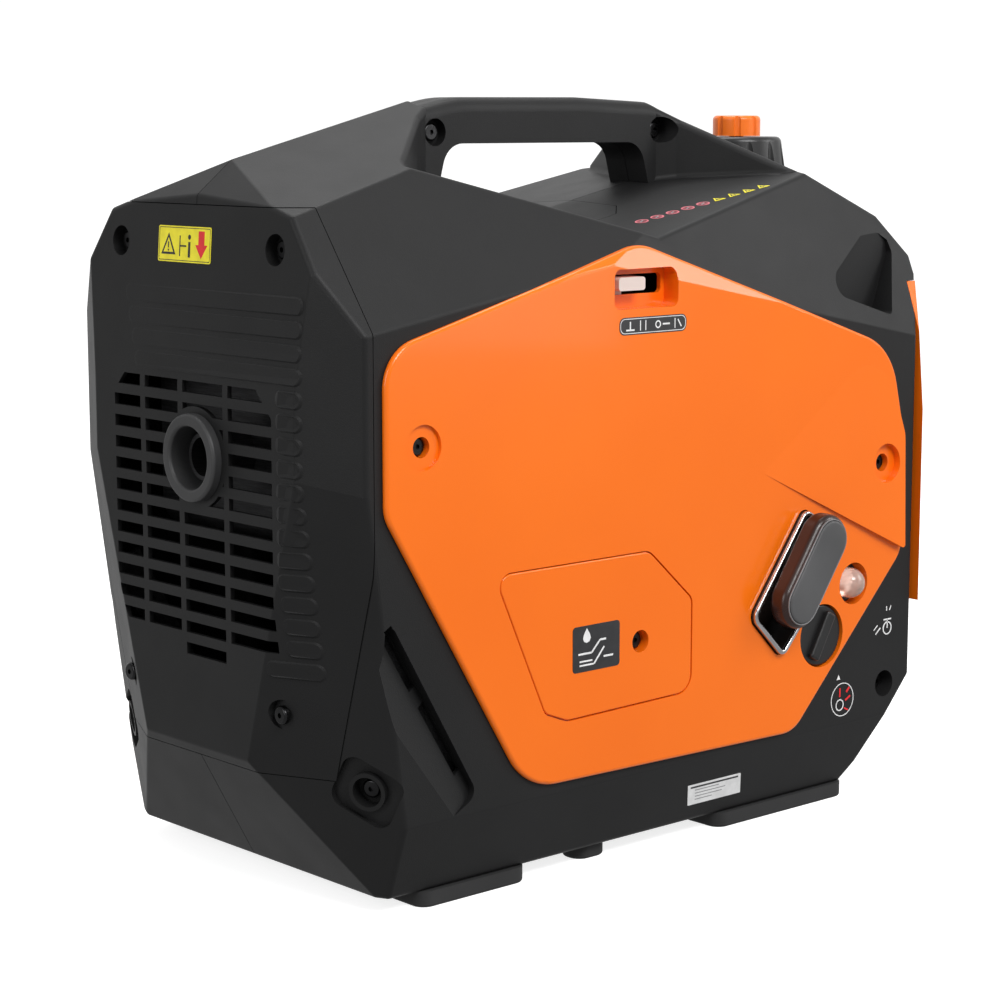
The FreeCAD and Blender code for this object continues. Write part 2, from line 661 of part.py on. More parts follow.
def side_panel(left):
    proud = right_half(PANEL_PROUD, size("edge_round")).cut(right_half(size("panel_gap")))
    panel = proud.common(prism(PANEL_FACE, -200, -70))
    # drop the loose scraps that the prism can leave near the far side
    panel = max(panel.Solids, key=lambda solid: solid.Volume)
    rim = [edge for edge in panel.Edges if on_rim(edge)]
    panel = panel.makeFillet(size("panel_round"), rim)
    if not left:
        panel = panel.fuse(starter_step())
    for x, z in PANEL_SCREWS:
        outer = Part.makeCylinder(8, PANEL_WELL_DEPTH + 2, Vector(x, PANEL_Y + PANEL_WELL_DEPTH + 2, z),
                                  Vector(0, -1, 0))
        panel = panel.fuse(outer)
        well_floor = Vector(x, PANEL_Y + PANEL_WELL_DEPTH, z)
        panel = panel.cut(Part.makeCylinder(6, 30, well_floor, Vector(0, -1, 0)))
        panel = panel.cut(Part.makeCylinder(2.6, 60, Vector(x, PANEL_Y + 30, z), Vector(0, -1, 0)))
        scoop = Part.makeCylinder(13, 12, Vector(x, PANEL_Y + 2.2, z), Vector(0, -1, 0))
        panel = panel.cut(scoop)
    if left:
        return mirrored(panel).removeSplitter()
    panel = panel.cut(prism(inset(DOOR_FACE, 0.5), -200, -100))
    seat = prism(inset(DOOR_FACE, 5), PANEL_Y + 3.1, PANEL_Y + 6)
    seat = seat.cut(prism(inset(DOOR_FACE, -6), -200, -100))
    panel = panel.fuse(seat)
    tray = block(-56, -HALF_WIDTH - 3, 338, 12, -HALF_WIDTH + 12, 378)
    tray = tray.common(right_half(PANEL_PROUD - 0.4)).common(prism(inset(PANEL_FACE, -4), -200, -90))
    recess = block(-49, -200, 342, 5, -HALF_WIDTH + 9, 366)
    recess = recess.makeFillet(5, [edge for edge in recess.Edges if runs_along_y(edge)])
    panel = panel.fuse(tray).cut(recess)
    slot = block(-46, -200, 350, 2, -100, 362)
    panel = panel.cut(slot.makeFillet(3, [edge for edge in slot.Edges if runs_along_y(edge)]))
    panel = panel.cut(prism(inset(BEZEL_FACE, 0.5), -200, -100))
    for x, z, radius in CONTROL_CUPS:
        panel = panel.fuse(Part.makeCylinder(radius + 2, 14, Vector(x, PANEL_Y + 15, z), Vector(0, -1, 0)))
        panel = panel.cut(Part.makeCylinder(radius, 30, Vector(x, PANEL_Y + 12, z), Vector(0, -1, 0)))
        panel = panel.cut(Part.makeCylinder(6.5, 60, Vector(x, PANEL_Y + 30, z), Vector(0, -1, 0)))
    return panel.removeSplitter()


DOOR_SCREW = (-25, 139)
STEP_FACE = outline_face(((84, 232, 2), (150, 290, 40), (203, 298, 30), (221.5, 246, 20), (221.5, 168.5, 2)))
STEP_TOP = ((84, PANEL_Y, 232), (200, PANEL_Y, 312), (222, PANEL_Y - 4.5, 170))


def starter_step():
    """The low wedge above the starter that rises towards its lower edge."""
    wedge = prism(STEP_FACE, PANEL_Y - 6, PANEL_Y + 1)
    return wedge.cut(outer_block(STEP_TOP, 0, CORE))


def on_rim(edge):
    """True for an edge of the panel's outer surface that lies on its outline."""
    middle = edge.valueAt((edge.FirstParameter + edge.LastParameter) / 2)
    flat = Part.Vertex(Vector(middle.x, 0, middle.z))
    if flat.distToShape(PANEL_RIM)[0] > 0.01:
        return False
    start = edge.valueAt(edge.FirstParameter)
    stop = edge.valueAt(edge.LastParameter)
    if Vector(start.x - stop.x, 0, start.z - stop.z).Length < 0.5:
        return False
    probe = Part.Vertex(middle)
    return probe.distToShape(PANEL_OUTSIDE)[0] < 0.01



def oil_door():
    face = inset(DOOR_FACE, -0.3)
    door = prism(face, PANEL_Y + 2.8, PANEL_Y)
    front = [edge for edge in door.Edges if all(abs(v.Y - PANEL_Y) < 0.01 for v in edge.Vertexes)]
    door = door.makeFillet(0.8, front)
    well = Part.makeCylinder(9, 11, Vector(DOOR_SCREW[0], PANEL_Y + 11, DOOR_SCREW[1]), Vector(0, -1, 0))
    well = well.cut(Part.makeCylinder(7, 20, Vector(DOOR_SCREW[0], PANEL_Y + 8, DOOR_SCREW[1]),
                                      Vector(0, -1, 0)))
    door = door.cut(Part.makeCylinder(8, 20, Vector(DOOR_SCREW[0], PANEL_Y + 10, DOOR_SCREW[1]),
                                      Vector(0, -1, 0))).fuse(well)
    return door.cut(Part.makeCylinder(2.6, 60, Vector(DOOR_SCREW[0], PANEL_Y + 30, DOOR_SCREW[1]),
                                      Vector(0, -1, 0))).removeSplitter()


ROPE_Z = size("crank_z") + size("reel_core") + size("rope_radius")
GRIP_TOP = (138, 200)
GRIP_BOTTOM = (92, 135)
GRIP_HALF_WIDTH = 17
GRIP_BACK = PANEL_Y - 4.6
GRIP_DEPTH = 15


def bezel():
    """The bright rim and dark pocket that the pull grip lies in."""
    ring = prism(inset(BEZEL_FACE, -0.2), PANEL_Y + 24, PANEL_Y - 4)
    ring = ring.cut(prism(inset(BEZEL_FACE, -3.4), PANEL_Y + 21, PANEL_Y - 10))
    front = [edge for edge in ring.Edges if all(abs(v.Y - PANEL_Y + 4) < 0.01 for v in edge.Vertexes)]
    ring = ring.makeFillet(1.2, front)
    return ring.cut(Part.makeCylinder(5, 60, Vector(size("reel_x"), -90, ROPE_Z), Vector(0, -1, 0)))



def grip():
    """An oval pull handle lying along the pocket, hollowed for the knot of the rope."""
    run = Vector(GRIP_TOP[0] - GRIP_BOTTOM[0], 0, GRIP_TOP[1] - GRIP_BOTTOM[1])
    start = Vector(GRIP_BOTTOM[0], 0, GRIP_BOTTOM[1])
    along = Vector(run).normalize()
    centres = (start + along * GRIP_HALF_WIDTH, start + run - along * GRIP_HALF_WIDTH)
    solids = [Part.makeCylinder(GRIP_HALF_WIDTH, GRIP_DEPTH, Vector(c.x, GRIP_BACK, c.z), Vector(0, -1, 0))
              for c in centres]
    side = Vector(along.z, 0, -along.x) * GRIP_HALF_WIDTH
    corners = [centres[0] + side, centres[1] + side, centres[1] - side, centres[0] - side]
    face = Part.Face(Part.makePolygon([Vector(c.x, GRIP_BACK, c.z) for c in corners + corners[:1]]))
    body = solids[0].fuse([solids[1], face.extrude(Vector(0, -GRIP_DEPTH, 0))]).removeSplitter()
    ends = [edge for edge in body.Edges
            if abs(edge.Vertexes[0].Y - edge.Vertexes[-1].Y) < 0.01]
    neck = Part.makeCylinder(5, 9, Vector(size("reel_x"), GRIP_BACK + 8, ROPE_Z), Vector(0, -1, 0))
    return body.makeFillet(4.5, ends).fuse(neck).removeSplitter()


def rope():
    length = -(GRIP_BACK + 8) + 1
    return Part.makeCylinder(size("rope_radius"), length, Vector(size("reel_x"), 1, ROPE_Z), Vector(0, -1, 0))


def dial(x, z, radius, depth, bar_height):
    """A round knob with a raised bar across it, its spindle pointing into the case."""
    floor = PANEL_Y + 11.5
    disc = Part.makeCylinder(radius, depth, Vector(x, floor, z), Vector(0, -1, 0))
    disc = disc.makeFillet(1.5, [e for e in disc.Edges if e.Curve.TypeId == "Part::GeomCircle"])
    bar = Part.makeBox(2 * radius - 7, 9, bar_height, Vector(-(radius - 3.5), -4.5, 0))
    bar = bar.makeFillet(2, [e for e in bar.Edges if not all(v.Z < 0.01 for v in e.Vertexes)])
    facing_out = Rotation(Vector(0, 0, 1), Vector(0, -1, 0))
    bar.Placement = Placement(Vector(x, floor - depth + 0.5, z),
                              facing_out.multiply(Rotation(Vector(0, 0, 1), 60)))
    spindle = Part.makeCylinder(6, 16, Vector(x, floor + 14, z), Vector(0, -1, 0))
    return disc.fuse([bar, spindle]).removeSplitter()


def bulb():
    x = size("bulb_x")
    z = size("bulb_z")
    radius = size("bulb_size")
    base = PANEL_Y + 7
    dome = Part.makeSphere(radius, Vector(x, base - 4, z))
    dome = dome.common(Part.makeCylinder(radius + 1, 30, Vector(x, base - 4, z), Vector(0, -1, 0)))
    return dome.fuse(Part.makeCylinder(radius, 4, Vector(x, base, z), Vector(0, -1, 0))).removeSplitter()


def bulb_base():
    x = size("bulb_x")
    z = size("bulb_z")
    ring = Part.makeCylinder(13.4, 3.4, Vector(x, PANEL_Y + 11.9, z), Vector(0, -1, 0))
    ring = ring.cut(Part.makeCylinder(10.4, 9, Vector(x, PANEL_Y + 11.3, z), Vector(0, -1, 0)))
    tube = Part.makeCylinder(4, 28.4, Vector(x, PANEL_Y + 40, z), Vector(0, -1, 0))
    return ring.fuse(tube).removeSplitter()


def choke_lever():
    """The ivory thumb tab and the flat rod that leads down to the carburettor."""
    x = size("choke_x") - 16
    z = size("choke_z")
    tab = block(x, -HALF_WIDTH - 2, z - 4, x + 22, -HALF_WIDTH + 14, z + 4)
    tab = tab.makeFillet(2, [edge for edge in tab.Edges if runs_along_y(edge)])
    rod_plate = block(x + 6, -HALF_WIDTH + 12.5, 262, x + 16, -HALF_WIDTH + 14.5, z + 4)
    return tab.fuse(rod_plate).removeSplitter()


right_panel = side_panel(False)
feature("right_shell", shell_half(False))
feature("left_shell", shell_half(True))
feature("rear_cover", rear_cover_shape())
feature("front_cover", front_cover_shape())
feature("control_panel", control_panel_shape())
feature("right_side_panel", right_panel)
feature("left_side_panel", side_panel(True))
feature("oil_access_door", oil_door())
feature("starter_bezel", bezel())
feature("starter_grip", grip())
feature("starter_rope", rope())
feature("engine_knob", dial(size("knob_x"), size("knob_z"), size("knob_size"), 10, 4.5))
feature("primer_bulb", bulb())
feature("primer_base", bulb_base())
feature("choke_lever", choke_lever())
feature("ac_outlets", Part.makeCompound([ac_outlet(y) for y in SOCKETS]))
feature("outlet_lid_left", outlet_lid(SOCKETS[0]))
feature("outlet_lid_right", outlet_lid(SOCKETS[1]))

# ---------------------------------------------------------------- plug access cover


def plug_cover():
    """The lift-off lid in the saddle over the spark plug, with a skirt that drops into the shells."""
    lid = inset_plan(0).extrude(Vector(0, 0, 100))
    skirt = lid.cut(inset_plan(-2.4).extrude(Vector(0, 0, 100)))
    top = whole(SKIN.cut(INNER)).common(lid)
    rim = whole(INNER.cut(right_half(-WALL - 5))).common(skirt)
    return top.fuse(rim).removeSplitter()


feature("plug_access_cover", plug_cover())

# ---------------------------------------------------------------- base and feet

TRAY_OUTLINE = ((-196, -108), (-196, 108), (172, 108), (172, -108))


def flat_plate(name, corners, bottom, height, round_radius):
    """A PartDesign plate on the ground plane: a sketched outline padded upwards, corners rounded."""
    body = document.addObject("PartDesign::Body", name)
    sketch = sketch_on(body, "XY_Plane", bottom)
    count = len(corners)
    for index in range(count):
        start = Vector(*corners[index], 0)
        stop = Vector(*corners[(index + 1) % count], 0)
        sketch.addGeometry(Part.LineSegment(start, stop))
    for index in range(count):
        sketch.addConstraint(Sketcher.Constraint("Coincident", index, 2, (index + 1) % count, 1))
        sketch.addConstraint(Sketcher.Constraint("DistanceX", -1, 1, index, 1, corners[index][0]))
        sketch.addConstraint(Sketcher.Constraint("DistanceY", -1, 1, index, 1, corners[index][1]))
    pad = body.newObject("PartDesign::Pad", name + "_pad")
    pad.Profile = sketch
    bind(pad, Length=height)
    document.recompute()
    fillet = body.newObject("PartDesign::Fillet", name + "_round")
    edges = ["Edge%d" % index for index, edge in enumerate(pad.Shape.Edges, start=1) if upright(edge)]
    fillet.Base = (pad, edges)
    fillet.Radius = round_radius
    return keep(body, name)


flat_plate("base_tray", TRAY_OUTLINE, "D.tray_bottom", "D.tray_top - D.tray_bottom", 20)

FEET = ((-187, -103, -127, -92), (63, 188, -127, -92), (-53, -27, -118, -98))


def foot_shape(x0, x1, y0, y1):
    """A moulded foot that reaches up into the shell floor, with its lower corners rounded."""
    height = FLOOR
    foot = block(x0, y0, 0, x1, y1, height)
    foot = foot.makeFillet(9, [edge for edge in foot.Edges if upright(edge)])
    return foot.makeFillet(2, [edge for edge in foot.Edges if all(v.Z < 0.01 for v in edge.Vertexes)])


feet = []
for x0, x1, y0, y1 in FEET:
    foot = foot_shape(x0, x1, y0, y1)
    feet += [foot, mirrored(foot)]
feature("rubber_feet", Part.makeCompound(feet))

mounts = []
for x in (-size("mount_x"), size("mount_x")):
    for y in (-size("mount_y"), size("mount_y")):
        bottom = size("tray_top")
        top = size("crankcase_floor")
        mounts.append(Part.makeCylinder(size("mount_radius"), top - bottom, Vector(x, y, bottom)).cut(
            Part.makeTorus(size("mount_radius") + 3, 5, Vector(x, y, (top + bottom) / 2))))
feature("engine_mounts", Part.makeCompound(mounts))

# ---------------------------------------------------------------- engine

case_block = box("crankcase_block", "-D.crankcase_length / 2", "-D.crankcase_width / 2", "D.crankcase_floor",
                 "D.crankcase_length", "D.crankcase_width", "D.crankcase_top - D.crankcase_floor")
case_round = rounded("crankcase_round", case_block, 10, straight)
neck = rod("oil_neck", "13", "45", "D.oil_x", "-D.crankcase_width / 2 + 5", "D.oil_z", ALONG_MINUS_Y)
case_neck = fuse("crankcase_with_neck", case_round, neck)
case_hollow = box("crankcase_hollow", "-D.crankcase_length / 2 + 8", "-D.crankcase_width / 2 + 8",
                  "D.crankcase_floor + 8", "D.crankcase_length - 16", "D.crankcase_width - 16",
                  "D.crankcase_top - D.crankcase_floor - 16")
case_bore = rod("crankcase_bore", "D.shaft_radius + D.shaft_gap", "200", "-100", "0", "D.crank_z", ALONG_X)
case_shaft_end = rod("crankcase_spigot_bore", "D.bore_radius", "30", "0", "0", "D.crankcase_top - 20")
neck_bore = rod("oil_neck_bore", "9", "60", "D.oil_x", "-D.crankcase_width / 2 + 12", "D.oil_z",
                ALONG_MINUS_Y)
crankcase = case_neck
for index, tool in enumerate((case_hollow, case_bore, case_shaft_end, neck_bore)):
    crankcase = cut("crankcase_cut_%d" % index, crankcase, tool)
keep(crankcase, "crankcase")

fin_pitch = (size("head_bottom") - size("crankcase_top")) / size("fin_count")
barrel = [("D.crankcase_top", "D.head_bottom - D.crankcase_top", "D.cylinder_radius", "D.bore_radius")]
fins = [("D.crankcase_top + %g" % (fin_pitch * (index + 0.4)), "3", "D.fin_radius", "D.cylinder_radius - 1")
        for index in range(int(size("fin_count")))]
turned_body("cylinder", barrel + fins, role="XY_Plane")
turned_body("piston", [("D.head_bottom - 46", "30", "D.bore_radius - 0.2", "D.bore_radius - 4"),
                       ("D.head_bottom - 20", "6", "D.bore_radius - 0.2", "")], role="XY_Plane")


def finned_head():
    """The cylinder head: a block with cooling fins cut round it."""
    low = size("head_bottom")
    high = size("head_top")
    head = block(-46, -46, low, 46, 46, high)
    head = head.makeFillet(8, [edge for edge in head.Edges if upright(edge)])
    for z in range(int(low) + 8, int(high) - 6, 9):
        groove = block(-60, -60, z, 60, 60, z + 5).cut(block(-36, -36, z, 36, 36, z + 5))
        head = head.cut(groove)
    return head.cut(Part.makeCylinder(5, 60, Vector(-6, 30, low + 12)))


feature("cylinder_head", finned_head())
rocker = box("rocker_block", "-36", "-42", "D.head_top", "72", "56", "D.rocker_top - D.head_top")
keep(rounded("rocker_round", rocker, 6, lambda edge: edge.BoundBox.ZMax > size("head_top") + 1),
     "rocker_cover")


def plug():
    """The spark plug: thread in the head, hexagon, ceramic and terminal."""
    low = size("head_bottom") + 12
    top = size("head_top")
    body = Part.makeCylinder(5, top - low, Vector(-6, 30, low))
    hexagon = Part.Face(Part.makePolygon([Vector(-6 + 9.2 * math.cos(math.radians(60 * k)),
                                                 30 + 9.2 * math.sin(math.radians(60 * k)), top)
                                          for k in range(7)])).extrude(Vector(0, 0, 9))
    ceramic = Part.makeCone(6, 4, 24, Vector(-6, 30, top + 9))
    return body.fuse([hexagon, ceramic, Part.makeCylinder(3, 6, Vector(-6, 30, top + 33))]).removeSplitter()


feature("spark_plug", plug())
turned_body("plug_cap", [("D.head_top + 14", "36", "10", "6.6"), ("D.head_top + 39.5", "14", "10", "")],
            role="XY_Plane", x="-6", y="30")

turned_body("crankshaft", [("D.shaft_start", "D.shaft_end - D.shaft_start", "D.shaft_radius", ""),
                           ("-26", "14", "D.web_radius", "D.shaft_radius - 1"),
                           ("12", "14", "D.web_radius", "D.shaft_radius - 1")],
            z="D.crank_z")
turned_body("alternator_stator", [("64", "18", "D.stator_radius", "20"),
                                  ("60", "5", "D.stator_radius - 12", "20")], z="D.crank_z")
turned_body("alternator_rotor", [("62", "24", "D.rotor_radius", "D.stator_radius + 1.5"),
                                 ("85", "6", "D.rotor_radius", "D.shaft_radius")], z="D.crank_z")


def fan():
    """The cooling fan: a disc on the shaft with a ring of blades made by turning one blade round."""
    start = 91
    disc = ring_x(size("fan_radius"), size("shaft_radius"), start + 8, start + 12, 0, size("crank_z"))
    hub = ring_x(24, size("shaft_radius"), start, start + 9, 0, size("crank_z"))
    blade_tip = size("crank_z") + size("fan_radius") - 1
    blade = block(start - 10, -1.5, size("crank_z") + 63, start + 9, 1.5, blade_tip)
    blades = []
    count = int(size("fan_blades"))
    for index in range(count):
        turned = blade.copy()
        turned.rotate(Vector(0, 0, size("crank_z")), Vector(1, 0, 0), 360 * index / count)
        blades.append(turned)
    return disc.fuse([hub] + blades).removeSplitter()


feature("cooling_fan", fan())

# ---------------------------------------------------------------- recoil starter

reel = [("D.reel_x - D.reel_width / 2", "D.reel_width", "D.reel_core", "8.3"),
        ("D.reel_x - D.reel_width / 2", "3.4", "D.reel_flange", "8.3"),
        ("D.reel_x + D.reel_width / 2 - 3.4", "3.4", "D.reel_flange", "8.3")]
turned_body("recoil_reel", reel, z="D.crank_z")


def recoil_housing_shape():
    """A drum round the reel with a slot where the rope leaves, and the post that the reel turns on."""
    start = size("housing_start")
    end = size("housing_end")
    z = size("crank_z")
    drum = ring_x(size("housing_radius"), size("housing_radius") - 3, start, end, 0, z)
    back = ring_x(size("housing_radius"), 0, end - 3, end, 0, z)
    post = ring_x(8, 0, start + 4, end, 0, z)
    drum = drum.fuse([back, post])
    rope_slot = block(size("reel_x") - 4, -70, ROPE_Z - 5, size("reel_x") + 4, -20, ROPE_Z + 5)
    return drum.cut(rope_slot).removeSplitter()


feature("recoil_housing", recoil_housing_shape())
spring_start = "D.housing_end - 3 - 2.5"
turned_body("recoil_spring", [(spring_start, "2.2", "30", "26"), (spring_start, "2.2", "22", "18")],
            z="D.crank_z")

# ---------------------------------------------------------------- breathing and exhaust


def carburettor_shape():
    body = block(-44, -92, 218, -8, -54, 252)
    body = body.makeFillet(4, [edge for edge in body.Edges if upright(edge)])
    flange = block(-46, -54, 215, -6, -46.2, 256)
    bowl = Part.makeCylinder(15, 16, Vector(-26, -73, 203))
    throat = Part.makeCylinder(9, 60, Vector(-26, -40, 236), Vector(0, -1, 0))
    return body.fuse([flange, bowl]).removeSplitter().cut(throat)


feature("carburettor", carburettor_shape())


def air_case_shape():
    case = block(-96, -123, 196, 20, -93, 292)
    case = case.makeFillet(8, [edge for edge in case.Edges if runs_along_y(edge)])
    case = case.cut(block(-93, -120, 199, 17, -96, 289))
    return case.cut(Part.makeCylinder(9, 10, Vector(-26, -90, 236), Vector(0, -1, 0)))


feature("air_cleaner_case", air_case_shape())
element = box("element_block", "-90", "-117.5", "202", "100", "19", "84")
keep(element, "air_filter_element")


def muffler_shape():
    ring_y = size("outlet_y")
    ring_z = size("outlet_z")
    can = block(-222, -88, 205, -146, 78, 312)
    can = can.makeFillet(18, [edge for edge in can.Edges if runs_along_y(edge)])
    tail = Part.makeCylinder(14, 29, Vector(-221, ring_y, ring_z), Vector(-1, 0, 0))
    pipe = Part.makeCylinder(13, 101, Vector(-147, 0, 262), Vector(1, 0, 0))
    whole_can = can.fuse([tail, pipe]).removeSplitter()
    chamber = block(-219.5, -85.5, 207.5, -148.5, 75.5, 309.5)
    chamber = chamber.makeFillet(15, [edge for edge in chamber.Edges if runs_along_y(edge)])
    whole_can = whole_can.cut(chamber)
    whole_can = whole_can.cut(Part.makeCylinder(11.5, 60, Vector(-200, ring_y, ring_z), Vector(-1, 0, 0)))
    return whole_can.cut(Part.makeCylinder(10.5, 120, Vector(-160, 0, 262), Vector(1, 0, 0)))


feature("muffler", muffler_shape())


def outlet_ring():
    """The collar that guides the exhaust out, with the spark screen's cross bar inside."""
    y = size("outlet_y")
    z = size("outlet_z")
    start = -CASE_FRONT - size("outlet_proud")
    bore = size("outlet_bore")
    ring = ring_x(size("outlet_radius"), bore, start, -CASE_FRONT - 0.05, y, z)
    ring = ring.makeFillet(2, [edge for edge in ring.Edges if edge.BoundBox.XMax < start + 0.1])
    collar = ring_x(size("outlet_radius") - 4.3, bore, -CASE_FRONT - 1, -242, y, z)
    return ring.fuse(collar).removeSplitter()


feature("exhaust_outlet_ring", outlet_ring())

# ---------------------------------------------------------------- fuel


def tank_shape():
    """The hollow moulded tank, its underside stepped over the starter, with the filler neck."""
    start = size("tank_start")
    end = size("tank_end")
    half = size("tank_half_width")
    floor = size("tank_floor")
    roof = size("tank_roof")
    skin = size("tank_wall")
    tank = block(start, -half, floor, end, half, roof)
    tank = tank.makeFillet(14, tank.Edges)
    hollow = block(start + skin, -half + skin, floor + skin, end - skin, half - skin, roof - skin)
    hollow = hollow.makeFillet(12, hollow.Edges)
    neck = Part.makeCylinder(size("neck_radius"), size("cap_top") - 6 - roof + 3, Vector(CAP_X, 0, roof - 3))
    tank = tank.fuse(neck).cut(hollow)
    return tank.cut(Part.makeCylinder(size("neck_radius") - 3, 100, Vector(CAP_X, 0, roof - 8)))


feature("fuel_tank", tank_shape())


def strainer():
    radius = size("neck_radius") - 3.4
    top = size("cap_top") - 6
    cup = Part.makeCylinder(radius, 52, Vector(CAP_X, 0, top - 52))
    return cup.cut(Part.makeCylinder(radius - 1.5, 60, Vector(CAP_X, 0, top - 50)))


feature("fuel_strainer", strainer())


def fuel_cap_shape():
    radius = size("cap_radius")
    bottom = size("cap_bottom")
    top = size("cap_top")
    cap = Part.makeCone(radius + 2.5, radius - 1.5, top - bottom, Vector(CAP_X, 0, bottom))
    cap = cap.makeFillet(4, [edge for edge in cap.Edges if edge.BoundBox.ZMin > top - 0.1])
    for index in range(12):
        angle = math.radians(30 * index)
        cap = cap.cut(Part.makeCylinder(3.4, top - bottom, Vector(CAP_X + (radius + 2.4) * math.cos(angle),
                                                                  (radius + 2.4) * math.sin(angle), bottom)))
    cap = cap.cut(Part.makeCylinder(size("neck_radius") + 1, top - 4 - bottom, Vector(CAP_X, 0, bottom)))
    return cap.cut(Part.makeCylinder(5.3, 20, Vector(CAP_X, 0, top - 8)))


feature("fuel_cap", fuel_cap_shape())


def vent_knob_shape():
    radius = size("knob_radius")
    top = size("cap_top") + 0.4
    height = size("knob_height")
    knob = Part.makeCylinder(radius, height, Vector(CAP_X, 0, top))
    knob = knob.makeFillet(3, [edge for edge in knob.Edges if edge.BoundBox.ZMin > top + height - 0.1])
    for index in range(8):
        angle = math.radians(45 * index)
        knob = knob.cut(Part.makeCylinder(2.6, height, Vector(CAP_X + (radius + 1) * math.cos(angle),
                                                             (radius + 1) * math.sin(angle), top)))
    return knob.fuse(Part.makeCylinder(5, 6, Vector(CAP_X, 0, top - 4))).removeSplitter()


feature("cap_vent_knob", vent_knob_shape())


def hose():
    """The fuel hose: down from the tank, round a bend, and along to the carburettor."""
    bend = 14
    x_tank = 84
    z_carburettor = 238
    y = -80
    bend_top = Vector(x_tank, y, z_carburettor + bend)
    path = Part.Wire([
        Part.LineSegment(Vector(x_tank, y, size("tank_floor")), bend_top).toShape(),
        Part.Arc(bend_top,
                 Vector(x_tank - bend * (1 - math.sqrt(0.5)), y, z_carburettor + bend * (1 - math.sqrt(0.5))),
                 Vector(x_tank - bend, y, z_carburettor)).toShape(),
        Part.LineSegment(Vector(x_tank - bend, y, z_carburettor), Vector(-7.8, y, z_carburettor)).toShape(),
    ])
    section = Part.Wire(Part.Circle(Vector(x_tank, y, size("tank_floor")), Vector(0, 0, 1), 4).toShape())
    return path.makePipeShell([section], True, False)


feature("fuel_hose", hose())
turned_body("oil_filler_cap", [("0.3", "8", "15.5", ""), ("-14", "15", "8.6", "")], role="XZ_Plane",
            x="D.oil_x", y="-D.crankcase_width / 2 - 40", z="D.oil_z")

# ---------------------------------------------------------------- electrics

inverter = box("inverter_block", "152", "-92", "56", "70", "184", "70")
keep(rounded("inverter_round", inverter, 5, straight), "inverter_module")
coil = box("coil_block", "82", "D.fan_radius + 4", "D.crank_z - 14", "18", "20", "34")
keep(rounded("coil_round", coil, 3, straight), "ignition_coil")
feature("dc_outlet", ring_x(14.7, 0, PANEL_FACE_X - 20, PANEL_FACE_X, DC_Y, DC_Z).fuse(
    ring_x(17, 0, PANEL_FACE_X, PANEL_FACE_X + 3, DC_Y, DC_Z)).cut(
    ring_x(11, 0, PANEL_FACE_X - 12, PANEL_FACE_X + 4, DC_Y, DC_Z)).removeSplitter())
turned_body("breaker_button", [("D.panel_face - 14", "19", "6.5", "")], y="D.breaker_y", z="D.breaker_z")


def rocker_switch():
    """A two-position key whose sides are round about its pivot, with a dished face."""
    pivot = PANEL_FACE_X - 2
    key = Part.makeCylinder(11.4, 15.2, Vector(pivot, SWITCH_Y - 7.6, SWITCH_Z), Vector(0, 1, 0))
    dish = Part.makeCylinder(26, 40, Vector(PANEL_FACE_X + 27, SWITCH_Y - 20, SWITCH_Z), Vector(0, 1, 0))
    ahead = block(PANEL_FACE_X + 3.6, SWITCH_Y - 20, SWITCH_Z - 20,
                  PANEL_FACE_X + 40, SWITCH_Y + 20, SWITCH_Z + 20)
    return key.cut(dish).cut(ahead)


feature("economy_switch", rocker_switch())
lamps = []
for y in LAMPS:
    lamp = ring_x(3.8, 0, PANEL_FACE_X - 10, PANEL_FACE_X + 2.4, y, LAMP_Z)
    lamps.append(lamp.makeFillet(1.4, [edge for edge in lamp.Edges if edge.BoundBox.XMin > PANEL_FACE_X + 2]))
feature("indicator_lamps", Part.makeCompound(lamps))


def earth_shape():
    stud = ring_x(3.8, 0, PANEL_FACE_X - 18, PANEL_FACE_X + 6, EARTH_Y, EARTH_Z)
    corners = [Vector(PANEL_FACE_X + 0.05, EARTH_Y + 8 * math.cos(math.radians(60 * k)),
                      EARTH_Z + 8 * math.sin(math.radians(60 * k))) for k in range(7)]
    nut = Part.Face(Part.makePolygon(corners)).extrude(Vector(4, 0, 0))
    return stud.fuse(nut).removeSplitter()


feature("earth_terminal", earth_shape())

# ---------------------------------------------------------------- screws

feature("rear_cover_screws", Part.makeCompound([
    screw((cover_surface_x(z), y, z), (-1, 0, 0), COVER_WELL_DEPTH) for y, z in COVER_SCREWS]))
panel_screw = [screw((x, PANEL_Y, z), (0, -1, 0), PANEL_WELL_DEPTH) for x, z in PANEL_SCREWS]
feature("side_panel_screws", Part.makeCompound(panel_screw + [mirrored(item) for item in panel_screw]))
shell_screw = [screw((x, -11, z), (0, -1, 0), 0) for x, z in HANDLE_SCREWS]
shell_screw += [screw(point, axis, LOW_WELL_DEPTH) for point, axis in LOW_SCREWS]
shell_screw += [mirrored(item) for item in shell_screw[2:]]
feature("shell_screws", Part.makeCompound(shell_screw))
feature("door_screw", screw((DOOR_SCREW[0], PANEL_Y, DOOR_SCREW[1]), (0, -1, 0), 8))

document.recompute()

problems = [item.Name for item in document.Objects if "Invalid" in item.State or "Error" in item.State]
problems += [node.Label for node in NODES if node.Shape.isNull() or not node.Shape.isValid()]
if problems:
    raise SystemExit("failed: %s" % ", ".join(problems))
os.makedirs("parts", exist_ok=True)
for node in NODES:
    shape = node.Shape.copy()
    shape.translate(Vector(0, size("seam_y"), 0))
    shape.exportStep("parts/%s.step" % node.Label)
    print(node.Label, len(shape.Solids), round(shape.Volume / 1000, 1))
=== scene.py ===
"""Looks of the portable generator: materials, labels, relief, grip, rope, stage and camera."""
import bpy
import bmesh
import json
import math
from mathutils import Matrix, Vector
from mathutils.bvhtree import BVHTree


